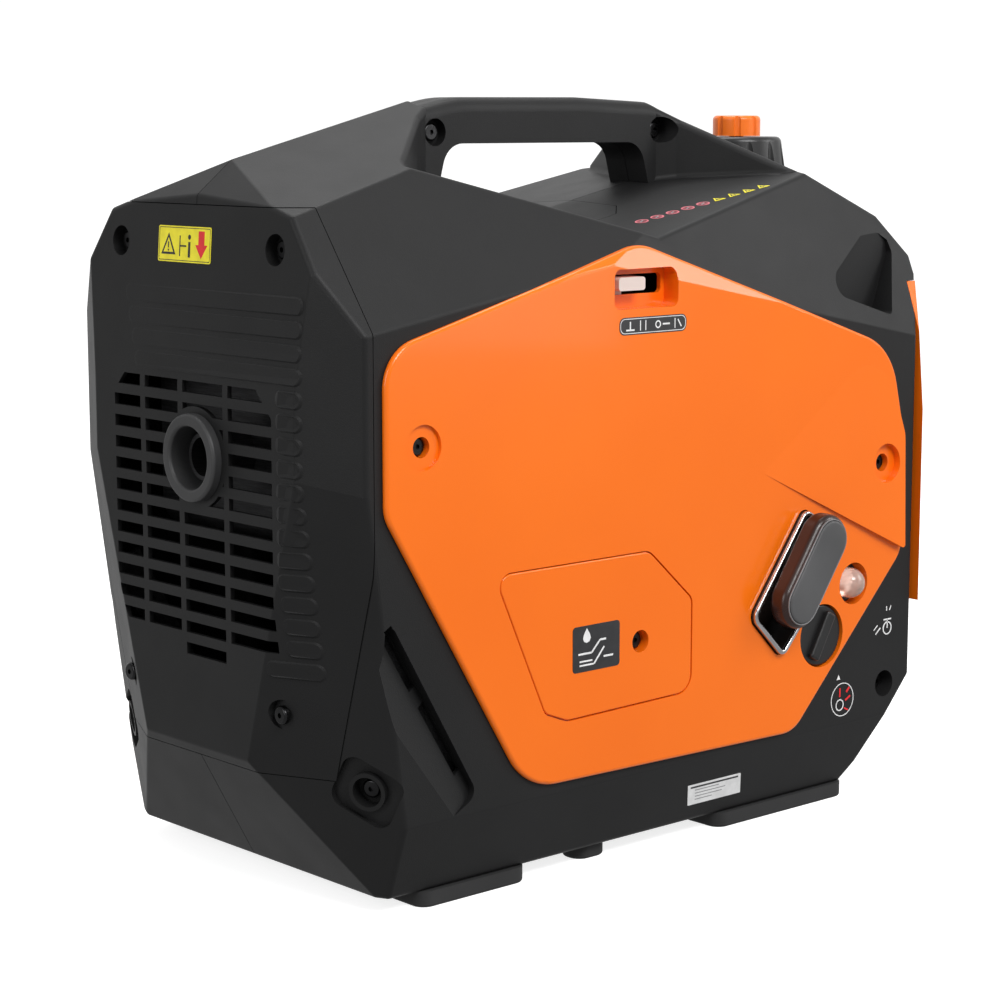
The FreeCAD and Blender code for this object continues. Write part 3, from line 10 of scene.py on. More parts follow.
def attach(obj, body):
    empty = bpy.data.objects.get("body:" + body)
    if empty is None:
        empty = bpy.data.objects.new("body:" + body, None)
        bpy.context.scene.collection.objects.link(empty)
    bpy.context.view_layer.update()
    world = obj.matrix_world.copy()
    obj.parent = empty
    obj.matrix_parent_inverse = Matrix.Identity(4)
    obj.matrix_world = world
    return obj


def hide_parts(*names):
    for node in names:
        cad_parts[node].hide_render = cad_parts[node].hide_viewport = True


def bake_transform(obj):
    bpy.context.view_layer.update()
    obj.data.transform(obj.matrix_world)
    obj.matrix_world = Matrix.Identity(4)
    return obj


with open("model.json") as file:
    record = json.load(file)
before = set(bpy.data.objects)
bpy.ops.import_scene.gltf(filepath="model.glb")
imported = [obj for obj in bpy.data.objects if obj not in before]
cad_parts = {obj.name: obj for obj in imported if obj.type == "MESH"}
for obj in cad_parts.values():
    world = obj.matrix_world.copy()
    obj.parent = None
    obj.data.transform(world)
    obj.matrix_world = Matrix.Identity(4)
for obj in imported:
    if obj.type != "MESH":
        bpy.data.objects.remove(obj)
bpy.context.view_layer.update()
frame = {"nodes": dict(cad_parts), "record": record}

NODES = frame["nodes"]
MM = 0.001
# Lengths below are in millimetres from the ground point under the seam between the two case halves,
# which lies this far along +Y from the frame's origin.
SEAM_Y = 8


def at(x, y, z):
    """A point given from the seam, in metres in the shared frame."""
    return Vector((x, y + SEAM_Y, z)) * MM


# ---------------------------------------------------------------- camera first

def make_camera():
    data = bpy.data.cameras.new("camera")
    data.lens = 89.7
    data.sensor_width = 36
    camera = bpy.data.objects.new("camera", data)
    bpy.context.scene.collection.objects.link(camera)
    camera.location = at(-1082.1, -1196.2, 454.2)
    camera.rotation_euler = (math.radians(81.3), 0, math.radians(-41.8))
    bpy.context.scene.camera = camera


make_camera()


# ---------------------------------------------------------------- material kit

class Shader:
    """A Principled material with short calls for the nodes that feed it."""

    def __init__(self, name, **sockets):
        self.material = bpy.data.materials.new(name)
        self.material.use_nodes = True
        self.tree = self.material.node_tree
        self.principled = self.tree.nodes["Principled BSDF"]
        for socket, value in sockets.items():
            self.principled.inputs[socket.replace("_", " ")].default_value = value

    def node(self, kind, **settings):
        made = self.tree.nodes.new(kind)
        for key, value in settings.items():
            if key in made.inputs:
                made.inputs[key].default_value = value
            else:
                setattr(made, key, value)
        return made

    def link(self, output, target):
        self.tree.links.new(output, target)

    def coordinates(self, stretch=(1, 1, 1)):
        where = self.node("ShaderNodeTexCoord")
        scaled = self.node("ShaderNodeMapping")
        scaled.inputs["Scale"].default_value = stretch
        self.link(where.outputs["Object"], scaled.inputs["Vector"])
        return scaled.outputs["Vector"]

    def noise(self, scale, detail=3.0, stretch=(1, 1, 1), roughness=0.5):
        made = self.node("ShaderNodeTexNoise")
        made.inputs["Scale"].default_value = scale
        made.inputs["Detail"].default_value = detail
        made.inputs["Roughness"].default_value = roughness
        self.link(self.coordinates(stretch), made.inputs["Vector"])
        return made.outputs["Fac"]

    def cells(self, scale, randomness=1.0):
        made = self.node("ShaderNodeTexVoronoi")
        made.inputs["Scale"].default_value = scale
        made.inputs["Randomness"].default_value = randomness
        self.link(self.coordinates(), made.inputs["Vector"])
        return made.outputs["Distance"]

    def ramp(self, value, low, high, low_at=0.35, high_at=0.65):
        made = self.node("ShaderNodeValToRGB")
        ends = made.color_ramp.elements
        ends[0].position = low_at
        ends[0].color = low
        ends[1].position = high_at
        ends[1].color = high
        self.link(value, made.inputs["Fac"])
        return made.outputs["Color"]

    def spread(self, value, low, high):
        made = self.node("ShaderNodeMapRange")
        made.inputs["To Min"].default_value = low
        made.inputs["To Max"].default_value = high
        self.link(value, made.inputs["Value"])
        return made.outputs["Result"]

    def mix(self, factor, first, second):
        made = self.node("ShaderNodeMix", data_type="RGBA")
        self.link(factor, made.inputs["Factor"])
        for slot, value in ((6, first), (7, second)):
            if isinstance(value, tuple):
                made.inputs[slot].default_value = value
            else:
                self.link(value, made.inputs[slot])
        return made.outputs[2]

    def bump(self, *layers):
        """Stack bump layers, each (height output, strength, distance in metres)."""
        last = None
        for height, strength, distance in layers:
            made = self.node("ShaderNodeBump")
            made.inputs["Strength"].default_value = strength
            made.inputs["Distance"].default_value = distance
            self.link(height, made.inputs["Height"])
            if last:
                self.link(last, made.inputs["Normal"])
            last = made.outputs["Normal"]
        self.link(last, self.principled.inputs["Normal"])

    def set(self, socket, output):
        self.link(output, self.principled.inputs[socket])


def grey(value):
    return (value, value, value * 1.03, 1)


def grained_plastic(name, dark, light, rough_low, rough_high, grain=1500, depth=0.00012, gloss=0.5):
    """Moulded plastic with a spark-eroded grain and faint mottling."""
    made = Shader(name, Specular_IOR_Level=gloss)
    made.set("Base Color", made.ramp(made.noise(14, 5), dark, light))
    made.set("Roughness", made.spread(made.noise(40, 4), rough_low, rough_high))
    made.bump((made.cells(grain), 0.35, depth), (made.noise(grain / 3, 2), 0.25, depth))
    return made.material


def gloss_plastic(name, dark, light, coat=0.35, roughness=0.2):
    """High-gloss moulded plastic: even colour with slight flow marks and a very fine orange peel."""
    made = Shader(name, Coat_Weight=coat, Coat_Roughness=0.04)
    made.set("Base Color", made.ramp(made.noise(7, 3), dark, light, 0.3, 0.7))
    made.set("Roughness", made.spread(made.noise(30, 3), roughness - 0.04, roughness + 0.05))
    made.bump((made.noise(220, 2), 0.06, 0.0001))
    return made.material


LOOKS_IN_BELOW = -0.2


def inward_shaded_plastic(name, dark, light):
    """High-gloss plastic outside, and painted shade in near-black on the faces that look in at the seam
    plane.
    """
    made = Shader(name, Coat_Weight=0.3, Coat_Roughness=0.06, Specular_IOR_Level=0.3)
    shape = made.node("ShaderNodeNewGeometry")
    facing = made.node("ShaderNodeSeparateXYZ")
    made.link(shape.outputs["Normal"], facing.inputs["Vector"])
    where = made.node("ShaderNodeSeparateXYZ")
    made.link(made.coordinates(), where.inputs["Vector"])
    side = made.node("ShaderNodeMath", operation="SIGN")
    made.link(where.outputs["Y"], side.inputs[0])
    outward = made.node("ShaderNodeMath", operation="MULTIPLY")
    made.link(facing.outputs["Y"], outward.inputs[0])
    made.link(side.outputs["Value"], outward.inputs[1])
    inner = made.node("ShaderNodeMath", operation="LESS_THAN")
    made.link(outward.outputs["Value"], inner.inputs[0])
    inner.inputs[1].default_value = LOOKS_IN_BELOW
    colour = made.ramp(made.noise(7, 3), dark, light, 0.3, 0.7)
    # painted shade: faces that look in towards the seam get near-black for the shaded inside of the case
    made.set("Base Color", made.mix(inner.outputs["Value"], colour, grey(0.01)))
    made.set("Roughness", made.spread(made.noise(30, 3), 0.17, 0.26))
    made.bump((made.noise(220, 2), 0.02, 0.0001))
    return made.material


def cast_metal(name, dark, light, roughness, grain=900):
    made = Shader(name, Metallic=1.0)
    made.set("Base Color", made.ramp(made.noise(30, 5), dark, light))
    made.set("Roughness", made.spread(made.noise(90, 4), roughness - 0.08, roughness + 0.1))
    made.bump((made.noise(grain, 3), 0.3, 0.0002))
    return made.material


def brushed_metal(name, dark, light, roughness, stretch=(1, 1, 40)):
    made = Shader(name, Metallic=1.0)
    streaks = made.noise(60, 3, stretch)
    made.set("Base Color", made.ramp(streaks, dark, light))
    made.set("Roughness", made.spread(made.noise(60, 3, stretch), roughness - 0.06, roughness + 0.1))
    made.bump((streaks, 0.12, 0.0001))
    return made.material


def braided(name):
    made = Shader(name, Roughness=0.8, Sheen_Weight=0.3)
    weave = made.node("ShaderNodeTexWave")
    weave.inputs["Scale"].default_value = 260
    weave.inputs["Distortion"].default_value = 1.5
    made.link(made.coordinates((1, 2.2, 1)), weave.inputs["Vector"])
    made.set("Base Color", made.ramp(weave.outputs["Fac"], grey(0.02), grey(0.09)))
    made.bump((weave.outputs["Fac"], 0.6, 0.0004))
    return made.material


def printed(name, color, roughness=0.35):
    """Ink or film on a label, with a faint unevenness of the print."""
    made = Shader(name, Coat_Weight=0.15)
    pale = tuple(min(1, channel * 1.06 + 0.004) for channel in color) + (1,)
    deep = tuple(channel * 0.92 for channel in color) + (1,)
    made.set("Base Color", made.ramp(made.noise(160, 3), deep, pale))
    made.set("Roughness", made.spread(made.noise(120, 2), roughness - 0.05, roughness + 0.06))
    made.bump((made.noise(900, 2), 0.05, 0.00005))
    return made.material


def clear_plastic(name, tint, roughness=0.12):
    made = Shader(name, Transmission_Weight=0.65, IOR=1.45, Coat_Weight=0.3)
    made.set("Base Color", made.ramp(made.noise(60, 2), tuple(c * 0.93 for c in tint) + (1,), tint + (1,)))
    made.set("Roughness", made.spread(made.noise(80, 2), roughness - 0.04, roughness + 0.05))
    made.bump((made.noise(300, 2), 0.04, 0.0001))
    return made.material


def two_finish(name, edge_y, outer, inner):
    """Chrome in front of a depth along Y and dark plastic behind it."""
    made = Shader(name)
    where = made.node("ShaderNodeTexCoord")
    axes = made.node("ShaderNodeSeparateXYZ")
    made.link(where.outputs["Object"], axes.inputs["Vector"])
    step = made.node("ShaderNodeMapRange")
    step.inputs["From Min"].default_value = edge_y
    step.inputs["From Max"].default_value = edge_y + 0.0003
    made.link(axes.outputs["Y"], step.inputs["Value"])
    bright = made.ramp(made.noise(60, 3), *outer)
    dark = made.ramp(made.noise(60, 3), *inner)
    made.set("Base Color", made.mix(step.outputs["Result"], bright, dark))
    made.set("Metallic", made.spread(step.outputs["Result"], 1.0, 0.0))
    made.set("Roughness", made.spread(step.outputs["Result"], 0.14, 0.24))
    made.bump((made.noise(300, 2), 0.05, 0.0001))
    return made.material


RIM_BACK_Y = at(0, -144.6, 0).y

MATERIALS = {
    "case_black": grained_plastic("case_black", grey(0.0095), grey(0.0115), 0.46, 0.56, gloss=0.26),
    # the orange panels carry painted shade in near-black on their inward faces
    "panel_orange": inward_shaded_plastic("panel_orange", (0.90, 0.160, 0.004, 1), (0.94, 0.175, 0.005, 1)),
    "control_black": grained_plastic("control_black", grey(0.009), grey(0.013), 0.3, 0.42, 2200, 0.00005),
    "vent_orange": grained_plastic("vent_orange", (0.88, 0.165, 0.008, 1), (0.94, 0.185, 0.01, 1), 0.26, 0.38,
                                   2200, 0.00005),
    "lid_grey": grained_plastic("lid_grey", grey(0.03), grey(0.04), 0.4, 0.5),
    "rim_chrome": two_finish("rim_chrome", RIM_BACK_Y, (grey(0.5), grey(0.7)),
                             ((0.014, 0.009, 0.008, 1), (0.024, 0.016, 0.014, 1))),
    "grip_rubber": grained_plastic("grip_rubber", (0.02, 0.009, 0.007, 1), (0.032, 0.014, 0.011, 1),
                                   0.22, 0.34, 2500, 0.00004),
    "rope_nylon": braided("rope_nylon"),
    "foot_rubber": grained_plastic("foot_rubber", grey(0.016), grey(0.024), 0.7, 0.85),
    "bulb_clear": clear_plastic("bulb_clear", (0.95, 0.7, 0.6)),
    "lever_ivory": grained_plastic("lever_ivory", (0.68, 0.55, 0.5, 1), (0.74, 0.62, 0.57, 1), 0.3, 0.4,
                                   2500, 0.00003),
    "button_red": gloss_plastic("button_red", (0.42, 0.02, 0.012, 1), (0.5, 0.03, 0.016, 1)),
    "lamp_green": clear_plastic("lamp_green", (0.12, 0.75, 0.2)),
    "engine_alloy": cast_metal("engine_alloy", grey(0.42), grey(0.56), 0.45),
    "engine_iron": cast_metal("engine_iron", grey(0.12), grey(0.2), 0.6),
    "engine_steel": brushed_metal("engine_steel", grey(0.07), grey(0.12), 0.42),
    "winding": cast_metal("winding", (0.5, 0.2, 0.08, 1), (0.62, 0.28, 0.12, 1), 0.4),
    "engine_plastic": grained_plastic("engine_plastic", grey(0.02), grey(0.03), 0.45, 0.6),
    "spring_steel": brushed_metal("spring_steel", grey(0.3), grey(0.42), 0.3),
    "filter_foam": grained_plastic("filter_foam", grey(0.05), grey(0.09), 0.85, 0.95, 500, 0.001),
    "strainer_mesh": grained_plastic("strainer_mesh", grey(0.6), grey(0.7), 0.5, 0.6, 700, 0.0004),
    "outlet_steel": grained_plastic("outlet_steel", grey(0.03), grey(0.042), 0.42, 0.55, 1800, 0.00006),
    "screw_black": cast_metal("screw_black", grey(0.02), grey(0.05), 0.28),
    "earth_brass": brushed_metal("earth_brass", (0.6, 0.42, 0.16, 1), (0.75, 0.55, 0.25, 1), 0.25),
}
GRIP_GREY = grained_plastic("grip_grey", grey(0.055), grey(0.08), 0.4, 0.52, 1400, 0.00008)
GRIP_BEAD = grained_plastic("grip_bead", grey(0.16), grey(0.22), 0.25, 0.35, 2500, 0.00003)

INK = {
    "yellow": printed("ink_yellow", (0.95, 0.83, 0.02)),
    "red": printed("ink_red", (0.8, 0.015, 0.02)),
    "black": printed("ink_black", (0.012, 0.012, 0.013)),
    "white": printed("ink_white", (0.8, 0.8, 0.8)),
    "grey": printed("ink_grey", (0.3, 0.3, 0.31)),
    "pink": printed("ink_pink", (0.75, 0.2, 0.24)),
    "sticker_black": printed("sticker_black", (0.02, 0.02, 0.022)),
}


def paint_cad_nodes():
    for entry in frame["record"]["subparts"]:
        node = NODES[entry["node"]]
        material = MATERIALS[entry["material_slot"]]
        node.data.materials.clear()
        node.data.materials.append(material)


paint_cad_nodes()

# ---------------------------------------------------------------- placing things on the case

SURFACES = {}


def surface(node):
    """A search tree over a CAD node's faces."""
    if node not in SURFACES:
        mesh = NODES[node].data
        corners = [vertex.co.copy() for vertex in mesh.vertices]
        SURFACES[node] = BVHTree.FromPolygons(corners, [tuple(face.vertices) for face in mesh.polygons])
    return SURFACES[node]


def on_surface(node, point, direction):
    """Where a line through the point first meets the node, coming along the direction, and the normal."""
    heading = Vector(direction).normalized()
    place, normal, _, _ = surface(node).ray_cast(point - heading * 0.3, heading)
    if normal.dot(heading) > 0:
        normal = -normal
    return place, normal


def local_frame(node, point, direction, across):
    """A matrix whose X runs across and whose Z leaves the surface, at the point met on the node."""
    place, normal = on_surface(node, point, direction)
    side = Vector(across)
    side = (side - normal * side.dot(normal)).normalized()
    matrix = Matrix((side, normal.cross(side), normal)).transposed().to_4x4()
    matrix.translation = place
    return matrix


def polar(radius, count, start=0.0, x=0.0, y=0.0):
    angles = [start + math.tau * k / count for k in range(count)]
    return [(x + radius * math.cos(angle), y + radius * math.sin(angle)) for angle in angles]


def rounded_box(width, height, radius, x=0.0, y=0.0, steps=5):
    """The outline of a rectangle with round corners about a centre."""
    outline = []
    for turn, (right, up) in enumerate(((1, 1), (-1, 1), (-1, -1), (1, -1))):
        cx = x + right * (width / 2 - radius)
        cy = y + up * (height / 2 - radius)
        for k in range(steps + 1):
            angle = math.pi / 2 * (turn + k / steps)
            outline.append((cx + radius * math.cos(angle), cy + radius * math.sin(angle)))
    return outline


def bar(x0, y0, x1, y1, width):
    """The outline of a straight stroke between two points."""
    run = Vector((x1 - x0, y1 - y0)).normalized() * width / 2
    return [(x0 + run.y, y0 - run.x), (x1 + run.y, y1 - run.x),
            (x1 - run.y, y1 + run.x), (x0 - run.y, y0 + run.x)]


def slanted(outline, lean):
    return [(x + y * lean, y) for x, y in outline]


def new_object(name, fill, materials, body):
    """A piece in the shared frame whose mesh is filled by fill(bmesh)."""
    mesh = bpy.data.meshes.new(name)
    build = bmesh.new()
    fill(build)
    bmesh.ops.recalc_face_normals(build, faces=build.faces)
    build.to_mesh(mesh)
    build.free()
    for material in materials:
        mesh.materials.append(material)
    made = bpy.data.objects.new(name, mesh)
    bpy.context.scene.collection.objects.link(made)
    if body:
        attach(made, body)
    return made


def add_walls(build, loops, material, smooth=False):
    """Quads between each loop of points and the next one; the loops have the same count."""
    count = len(loops[0])
    for lower, upper in zip(loops, loops[1:]):
        for k in range(count):
            face = build.faces.new((lower[k], lower[(k + 1) % count], upper[(k + 1) % count], upper[k]))
            face.material_index = material
            face.smooth = smooth


def close_ends(build, loops):
    """The two end faces of a stack of loops."""
    build.faces.new(loops[-1])
    build.faces.new(list(reversed(loops[0])))


def add_prism(build, outline, low, high, matrix, material=0):
    """A closed prism over an outline in millimetres, between two heights above the matrix."""
    loops = [[build.verts.new(matrix @ Vector((x * MM, y * MM, height * MM))) for x, y in outline]
             for height in (low, high)]
    add_walls(build, loops, material)
    for loop in (loops[1], list(reversed(loops[0]))):
        build.faces.new(loop).material_index = material


def add_ring(build, outer, inner, low, high, matrix, material=0):
    """A closed ring between two outlines with the same count."""
    loops = [[build.verts.new(matrix @ Vector((x * MM, y * MM, height * MM))) for x, y in outline]
             for outline, height in ((outer, low), (outer, high), (inner, high), (inner, low))]
    add_walls(build, loops + loops[:1], material)


FILM = 0.22
INK_STEP = 0.04


def label(name, where, layers, body="case"):
    """A printed label: each layer is (level, ink, outline) or (level, ink, outer, inner) in millimetres."""
    inks = sorted({layer[1] for layer in layers})

    def fill(build):
        for level, ink, *outlines in layers:
            low = 0.02 if level == 0 else FILM - 0.1
            high = FILM + INK_STEP * level
            add = add_ring if len(outlines) == 2 else add_prism
            add(build, *outlines, low, high, where, inks.index(ink))

    return new_object(name, fill, [INK[ink] for ink in inks], body)


def warning_triangle(x, y, size, level, rim, field):
    """A generic triangle sign: a dark rim, a paler field and a plain bar and dot."""
    outer = polar(size, 3, math.pi / 2, x, y)
    inner = polar(size * 0.68, 3, math.pi / 2, x, y)
    return [(level, rim, outer), (level + 1, field, inner),
            (level + 2, rim, bar(x, y - size * 0.05, x, y + size * 0.38, size * 0.12)),
            (level + 2, rim, polar(size * 0.08, 8, 0, x, y - size * 0.2))]


# ---------------------------------------------------------------- labels

FORWARD = (1, 0, 0)
INWARD = (0, 1, 0)
TO_STARTER_SIDE = (0, -1, 0)


DROP_SIZE = 3.2
OIL_DROP = ((0, 1.7), (0.75, 0.55), (1, -0.2), (0.7, -0.85),
            (0, -1.1), (-0.7, -0.85), (-1, -0.2), (-0.75, 0.55))
PLATE_LEAN = -0.3


def make_labels():
    """The caution, oil and choke stickers, the two control symbols and the data plate."""
    rear = local_frame("rear_cover", at(-250, 10.5, 382), FORWARD, TO_STARTER_SIDE)
    label("rear_sticker", rear, [
        (0, "yellow", rounded_box(53, 21, 1.2)),
        (1, "black", rounded_box(51.4, 19.4, 0.8), rounded_box(50.6, 18.6, 0.6)),
        *warning_triangle(-16, -2, 8.4, 1, "black", "yellow"),
        (1, "black", bar(-4.5, 5, -4.5, -7, 1)), (1, "black", bar(-4, -1, 2, -1, 1)),
        (1, "black", bar(5, 1.5, 5, -7.5, 2.2)), (1, "black", polar(1.5, 12, 0, 5, 4.3)),
        (1, "red", [(14, 8), (20, 8), (20, 0), (23, 0), (17, -8), (11, 0), (14, 0)])])

    door = local_frame("oil_access_door", at(-62.5, -150, 141), INWARD, FORWARD)
    drop = [(x * DROP_SIZE - 8, y * DROP_SIZE + 7) for x, y in OIL_DROP]
    label("oil_sticker", door, [
        (0, "sticker_black", rounded_box(39, 28, 2.4)),
        (1, "white", drop),
        (1, "white", bar(-15, -3, -4, -3, 1.2)), (1, "white", bar(-4, -3, 3, 4, 1.2)),
        (1, "white", bar(-14, -10, -2, -10, 1)), (1, "white", bar(-14, -7.6, -3.4, -7.6, 1)),
        (1, "white", bar(-2, -10, 6.5, -0.5, 1.2)), (1, "white", bar(3, 4, 8, 4, 1.2)),
        (1, "white", bar(6, -6.6, 14, -6.6, 1.2))])

    choke = local_frame("right_side_panel", at(-16.5, -150, 332), INWARD, FORWARD)
    label("choke_sticker", choke, [
        (0, "sticker_black", rounded_box(57, 10.4, 4)),
        (1, "white", rounded_box(55.6, 9, 3.6), rounded_box(54.8, 8.2, 3.3)),
        (1, "white", bar(-11, -3, -11, 3, 0.7)), (1, "white", bar(-6.5, -3, -6.5, 3, 0.7)),
        (1, "white", bar(-23, -2.4, -16, -2.4, 1)), (1, "white", bar(-19.5, -2.4, -19.5, 2.6, 1)),
        (1, "white", polar(2.4, 16, 0, 4, 0), polar(1.6, 16, 0, 4, 0)), (1, "white", bar(8, 0, 14, 0, 1)),
        (1, "white", bar(18.5, -3, 18.5, 3, 0.7)), (1, "white", bar(21, 2.2, 24, -2.2, 0.9))])

    knob = local_frame("right_shell", at(169, -150, 71.5), INWARD, FORWARD)
    label("knob_symbol", knob, [
        (0, "white", polar(11.4, 40), polar(10.8, 40)),
        (0, "white", polar(4, 24, 0, -2.5, -3.5), polar(3.2, 24, 0, -2.5, -3.5)),
        (0, "red", bar(-2.5, 2, -2.5, 8, 1.3)), (0, "red", bar(3, -1, 8, 1.5, 1.3)),
        (0, "red", bar(2, -6, 6, -8, 1)), (0, "white", [(-6, 14), (-2.5, 14), (-4.2, 17.4)]),
        (0, "red", bar(4, 4.5, 7, 7.5, 1.6))])

    primer = local_frame("right_shell", at(212, -150, 116), INWARD, FORWARD)
    label("primer_symbol", primer, [
        (0, "white", polar(4.6, 24, 0, 2, -2), polar(3.7, 24, 0, 2, -2)),
        (0, "white", bar(-2, 4, 6, 4, 1)), (0, "white", bar(-10, -5, -5, -1, 0.9)),
        (0, "white", bar(-12, -2, -8, 1, 0.8)), (0, "white", bar(1, 10, 1, 13, 0.9)),
        (0, "white", bar(4, 10, 5.6, 13, 0.9)), (0, "white", bar(2, -2, 2, 4, 1))])

    low = local_frame("right_shell", at(55, -150, 29), INWARD, FORWARD)
    rows = [bar(-18, y, end, y, 0.7) for y, end in ((3.2, 4), (0.8, 10), (-1.6, 7), (-4, -2))]
    label("data_plate", low, [(0, "white", slanted(rounded_box(49, 15.5, 0.6), PLATE_LEAN)),
                              *[(1, "grey", slanted(row, PLATE_LEAN)) for row in rows],
                              (1, "black", slanted(rounded_box(44, 1.3, 0.2, 0, 5.6), PLATE_LEAN))])


SIGN_COUNT = 9
ROUND_SIGNS = 5


def make_icon_row():
    """Small round signs and then triangular ones, in a row up the saddle beside the handle."""
    start = at(26, -89.6, 470)
    stop = at(122, -103, 470)
    for index in range(SIGN_COUNT):
        point = start.lerp(stop, index / (SIGN_COUNT - 1))
        where = local_frame("right_shell", point, (0, 0, -1), stop - start)
        if index < ROUND_SIGNS:
            layers = [(0, "pink", polar(4.4, 24), polar(3.5, 24)),
                      (0, "grey", bar(-1.8, -1.2, 1.8, 1.4, 1.1)),
                      (0, "pink", bar(-2.6, 2.6, 2.6, -2.6, 0.8))]
        else:
            layers = [(0, "yellow", polar(5, 3, math.pi / 2)), (1, "sticker_black", polar(3, 3, math.pi / 2)),
                      (2, "yellow", bar(0, -0.8, 0, 1.2, 0.9))]
        label("sign_%d" % (index + 1), where, layers)


# ---------------------------------------------------------------- moulded relief


def add_relief(build, node, outline, top_outline, rise, direction, to_point):
    """A low bevelled pad whose outlines are laid on the node, one sunk under it and one standing proud."""
    heading = Vector(direction).normalized()
    loops = []
    for shape, lift in ((outline, -0.4), (outline, 0.0), (top_outline, None)):
        loop = []
        for u, v in shape:
            place, _ = on_surface(node, to_point(u, v), heading)
            height = rise(u, v) if lift is None else lift
            loop.append(build.verts.new(place - heading * height * MM))
        loops.append(loop)
    add_walls(build, loops, 0)
    close_ends(build, loops)


RIB_PITCH = 13
RIB_HEIGHT = 10.6
RIB_RIGHT = 105
RIB_BEVEL = 1
GRILLE_TOP_Z = 300
ROWS_ABOVE = 4
GRILLE_ROWS = 13
GRILLE_SIDE = 82.8
LAST_ROW_START = 70


def make_rear_ribs():
    """Rounded bands on the rear cover: whole ones above the grille, short ones at its starter side."""

    def fill(build):
        for row in range(-ROWS_ABOVE, GRILLE_ROWS):
            z = GRILLE_TOP_Z - RIB_PITCH * row
            start = -70 + 4 * (row + ROWS_ABOVE) if row < 0 else GRILLE_SIDE
            if row == GRILLE_ROWS - 1:
                start = LAST_ROW_START
            width = RIB_RIGHT - start
            centre = (RIB_RIGHT + start) / 2
            outline = rounded_box(width, RIB_HEIGHT, 4.8, centre, z)
            top = rounded_box(width - 2 * RIB_BEVEL, RIB_HEIGHT - 2 * RIB_BEVEL, 3.9, centre, z)
            fade = 70 if row < 0 else 4

            def rise(u, v, start=start, fade=fade):
                return 0.05 + 0.95 * min(1, max(0, (u - start) / fade))

            add_relief(build, "rear_cover", outline, top, rise, FORWARD, lambda u, v: at(-250, -u, v))

    new_object("rear_ribs", fill, [MATERIALS["case_black"]], "case")


GRIP_ENDS = (Vector((101.8, 148.9)), Vector((128.2, 186.1)))
GRIP_FACE_Y = -162.1
# (outline radius, depth along Y) of each ring of the pad and of the bead round it
PAD_RINGS = ((13.2, 0.6), (13.2, -0.9), (12.6, -1.35), (11.4, -1.5), (7, -1.75), (3, -1.85))
BEAD_RINGS = ((14.3, 0.3), (14.3, -0.5), (13.9, -0.75), (13.5, -0.5), (13.5, 0.3))


def stadium(radius, steps=14):
    """The outline round the two end centres of the pull grip."""
    lower, upper = GRIP_ENDS
    heading = math.atan2(upper.y - lower.y, upper.x - lower.x)
    outline = []
    for centre, turn in ((upper, heading - math.pi / 2), (lower, heading + math.pi / 2)):
        for k in range(steps + 1):
            angle = turn + math.pi * k / steps
            outline.append((centre.x + radius * math.cos(angle), centre.y + radius * math.sin(angle)))
    return outline


def grip_loops(build, rings):
    return [[build.verts.new(at(x, GRIP_FACE_Y + depth, z)) for x, z in stadium(radius)]
            for radius, depth in rings]


def make_grip_pad():
    """The grey soft inset on the face of the pull grip, inside a thin bright bead."""

    def fill(build):
        loops = grip_loops(build, PAD_RINGS)
        add_walls(build, loops, 0, smooth=True)
        close_ends(build, loops)

    def fill_bead(build):
        loops = grip_loops(build, BEAD_RINGS)
        add_walls(build, loops + loops[:1], 0, smooth=True)

    new_object("grip_pad", fill, [GRIP_GREY], "starter_pull")
    new_object("grip_bead", fill_bead, [GRIP_BEAD], "starter_pull")


ROPE_X = 117
ROPE_Z = 165
ROPE_START_Y = 1
ROPE_RINGS = 141
ROPE_SIDES = 18
STRAND_VALLEY = 1.72
STRAND_RISE = 0.28
TWIST_PER_MM = 0.35


def make_rope():
    """The starter rope: three twisted strands from the reel to the knot in the grip."""

    def fill(build):
        loops = []
        for ring in range(ROPE_RINGS):
            y = ROPE_START_Y - ring
            loop = []
            for k in range(ROPE_SIDES):
                angle = math.tau * k / ROPE_SIDES
                radius = STRAND_VALLEY + STRAND_RISE * abs(math.cos(1.5 * (angle - y * TWIST_PER_MM)))
                across = radius * math.cos(angle)
                up = radius * math.sin(angle)
                loop.append(build.verts.new(at(ROPE_X + across, y, ROPE_Z + up)))
            loops.append(loop)
        add_walls(build, loops, 0, smooth=True)
        close_ends(build, loops)

    rope = new_object("rope", fill, [MATERIALS["rope_nylon"]], None)
    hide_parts("starter_rope")
    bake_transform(rope)


PANEL_FACE_X = 248
SOCKET_YS = (-50, 14)
LAMP_YS = (-68, -46, -24)


def make_front_marks():
    """Plain lines and dots on the black outlet panel."""
    where = Matrix(((0, 0, 1, 0), (1, 0, 0, 0), (0, 1, 0, 0), (0, 0, 0, 1)))
    where.translation = at(PANEL_FACE_X, 0, 0)
    layers = []
    for y in SOCKET_YS:
        layers += [(0, "white", bar(y - 20, 156, y + 20, 156, 0.8)),
                   (0, "white", polar(2.2, 16, 0, y, 150), polar(1.6, 16, 0, y, 150))]
    for y in LAMP_YS:
        layers.append((0, "white", polar(6, 24, 0, y, 284), polar(5.4, 24, 0, y, 284)))
        layers.append((0, "white", bar(y - 3, 296, y + 3, 296, 0.9)))
    layers.append((0, "white", rounded_box(24, 34, 3, 66, 262), rounded_box(23, 33, 2.6, 66, 262)))
    layers.append((0, "white", rounded_box(174, 142, 8, 0, 240), rounded_box(172.6, 140.6, 7.4, 0, 240)))
    layers.append((0, "white", bar(56, 170, 76, 170, 0.8)))
    label("panel_marks", where, layers)


INTAKE_ENDS = ((-164, 72), (-224, 180))
INTAKE_WIDTH = 22
INTAKE_DEPTHS = (118, 121)


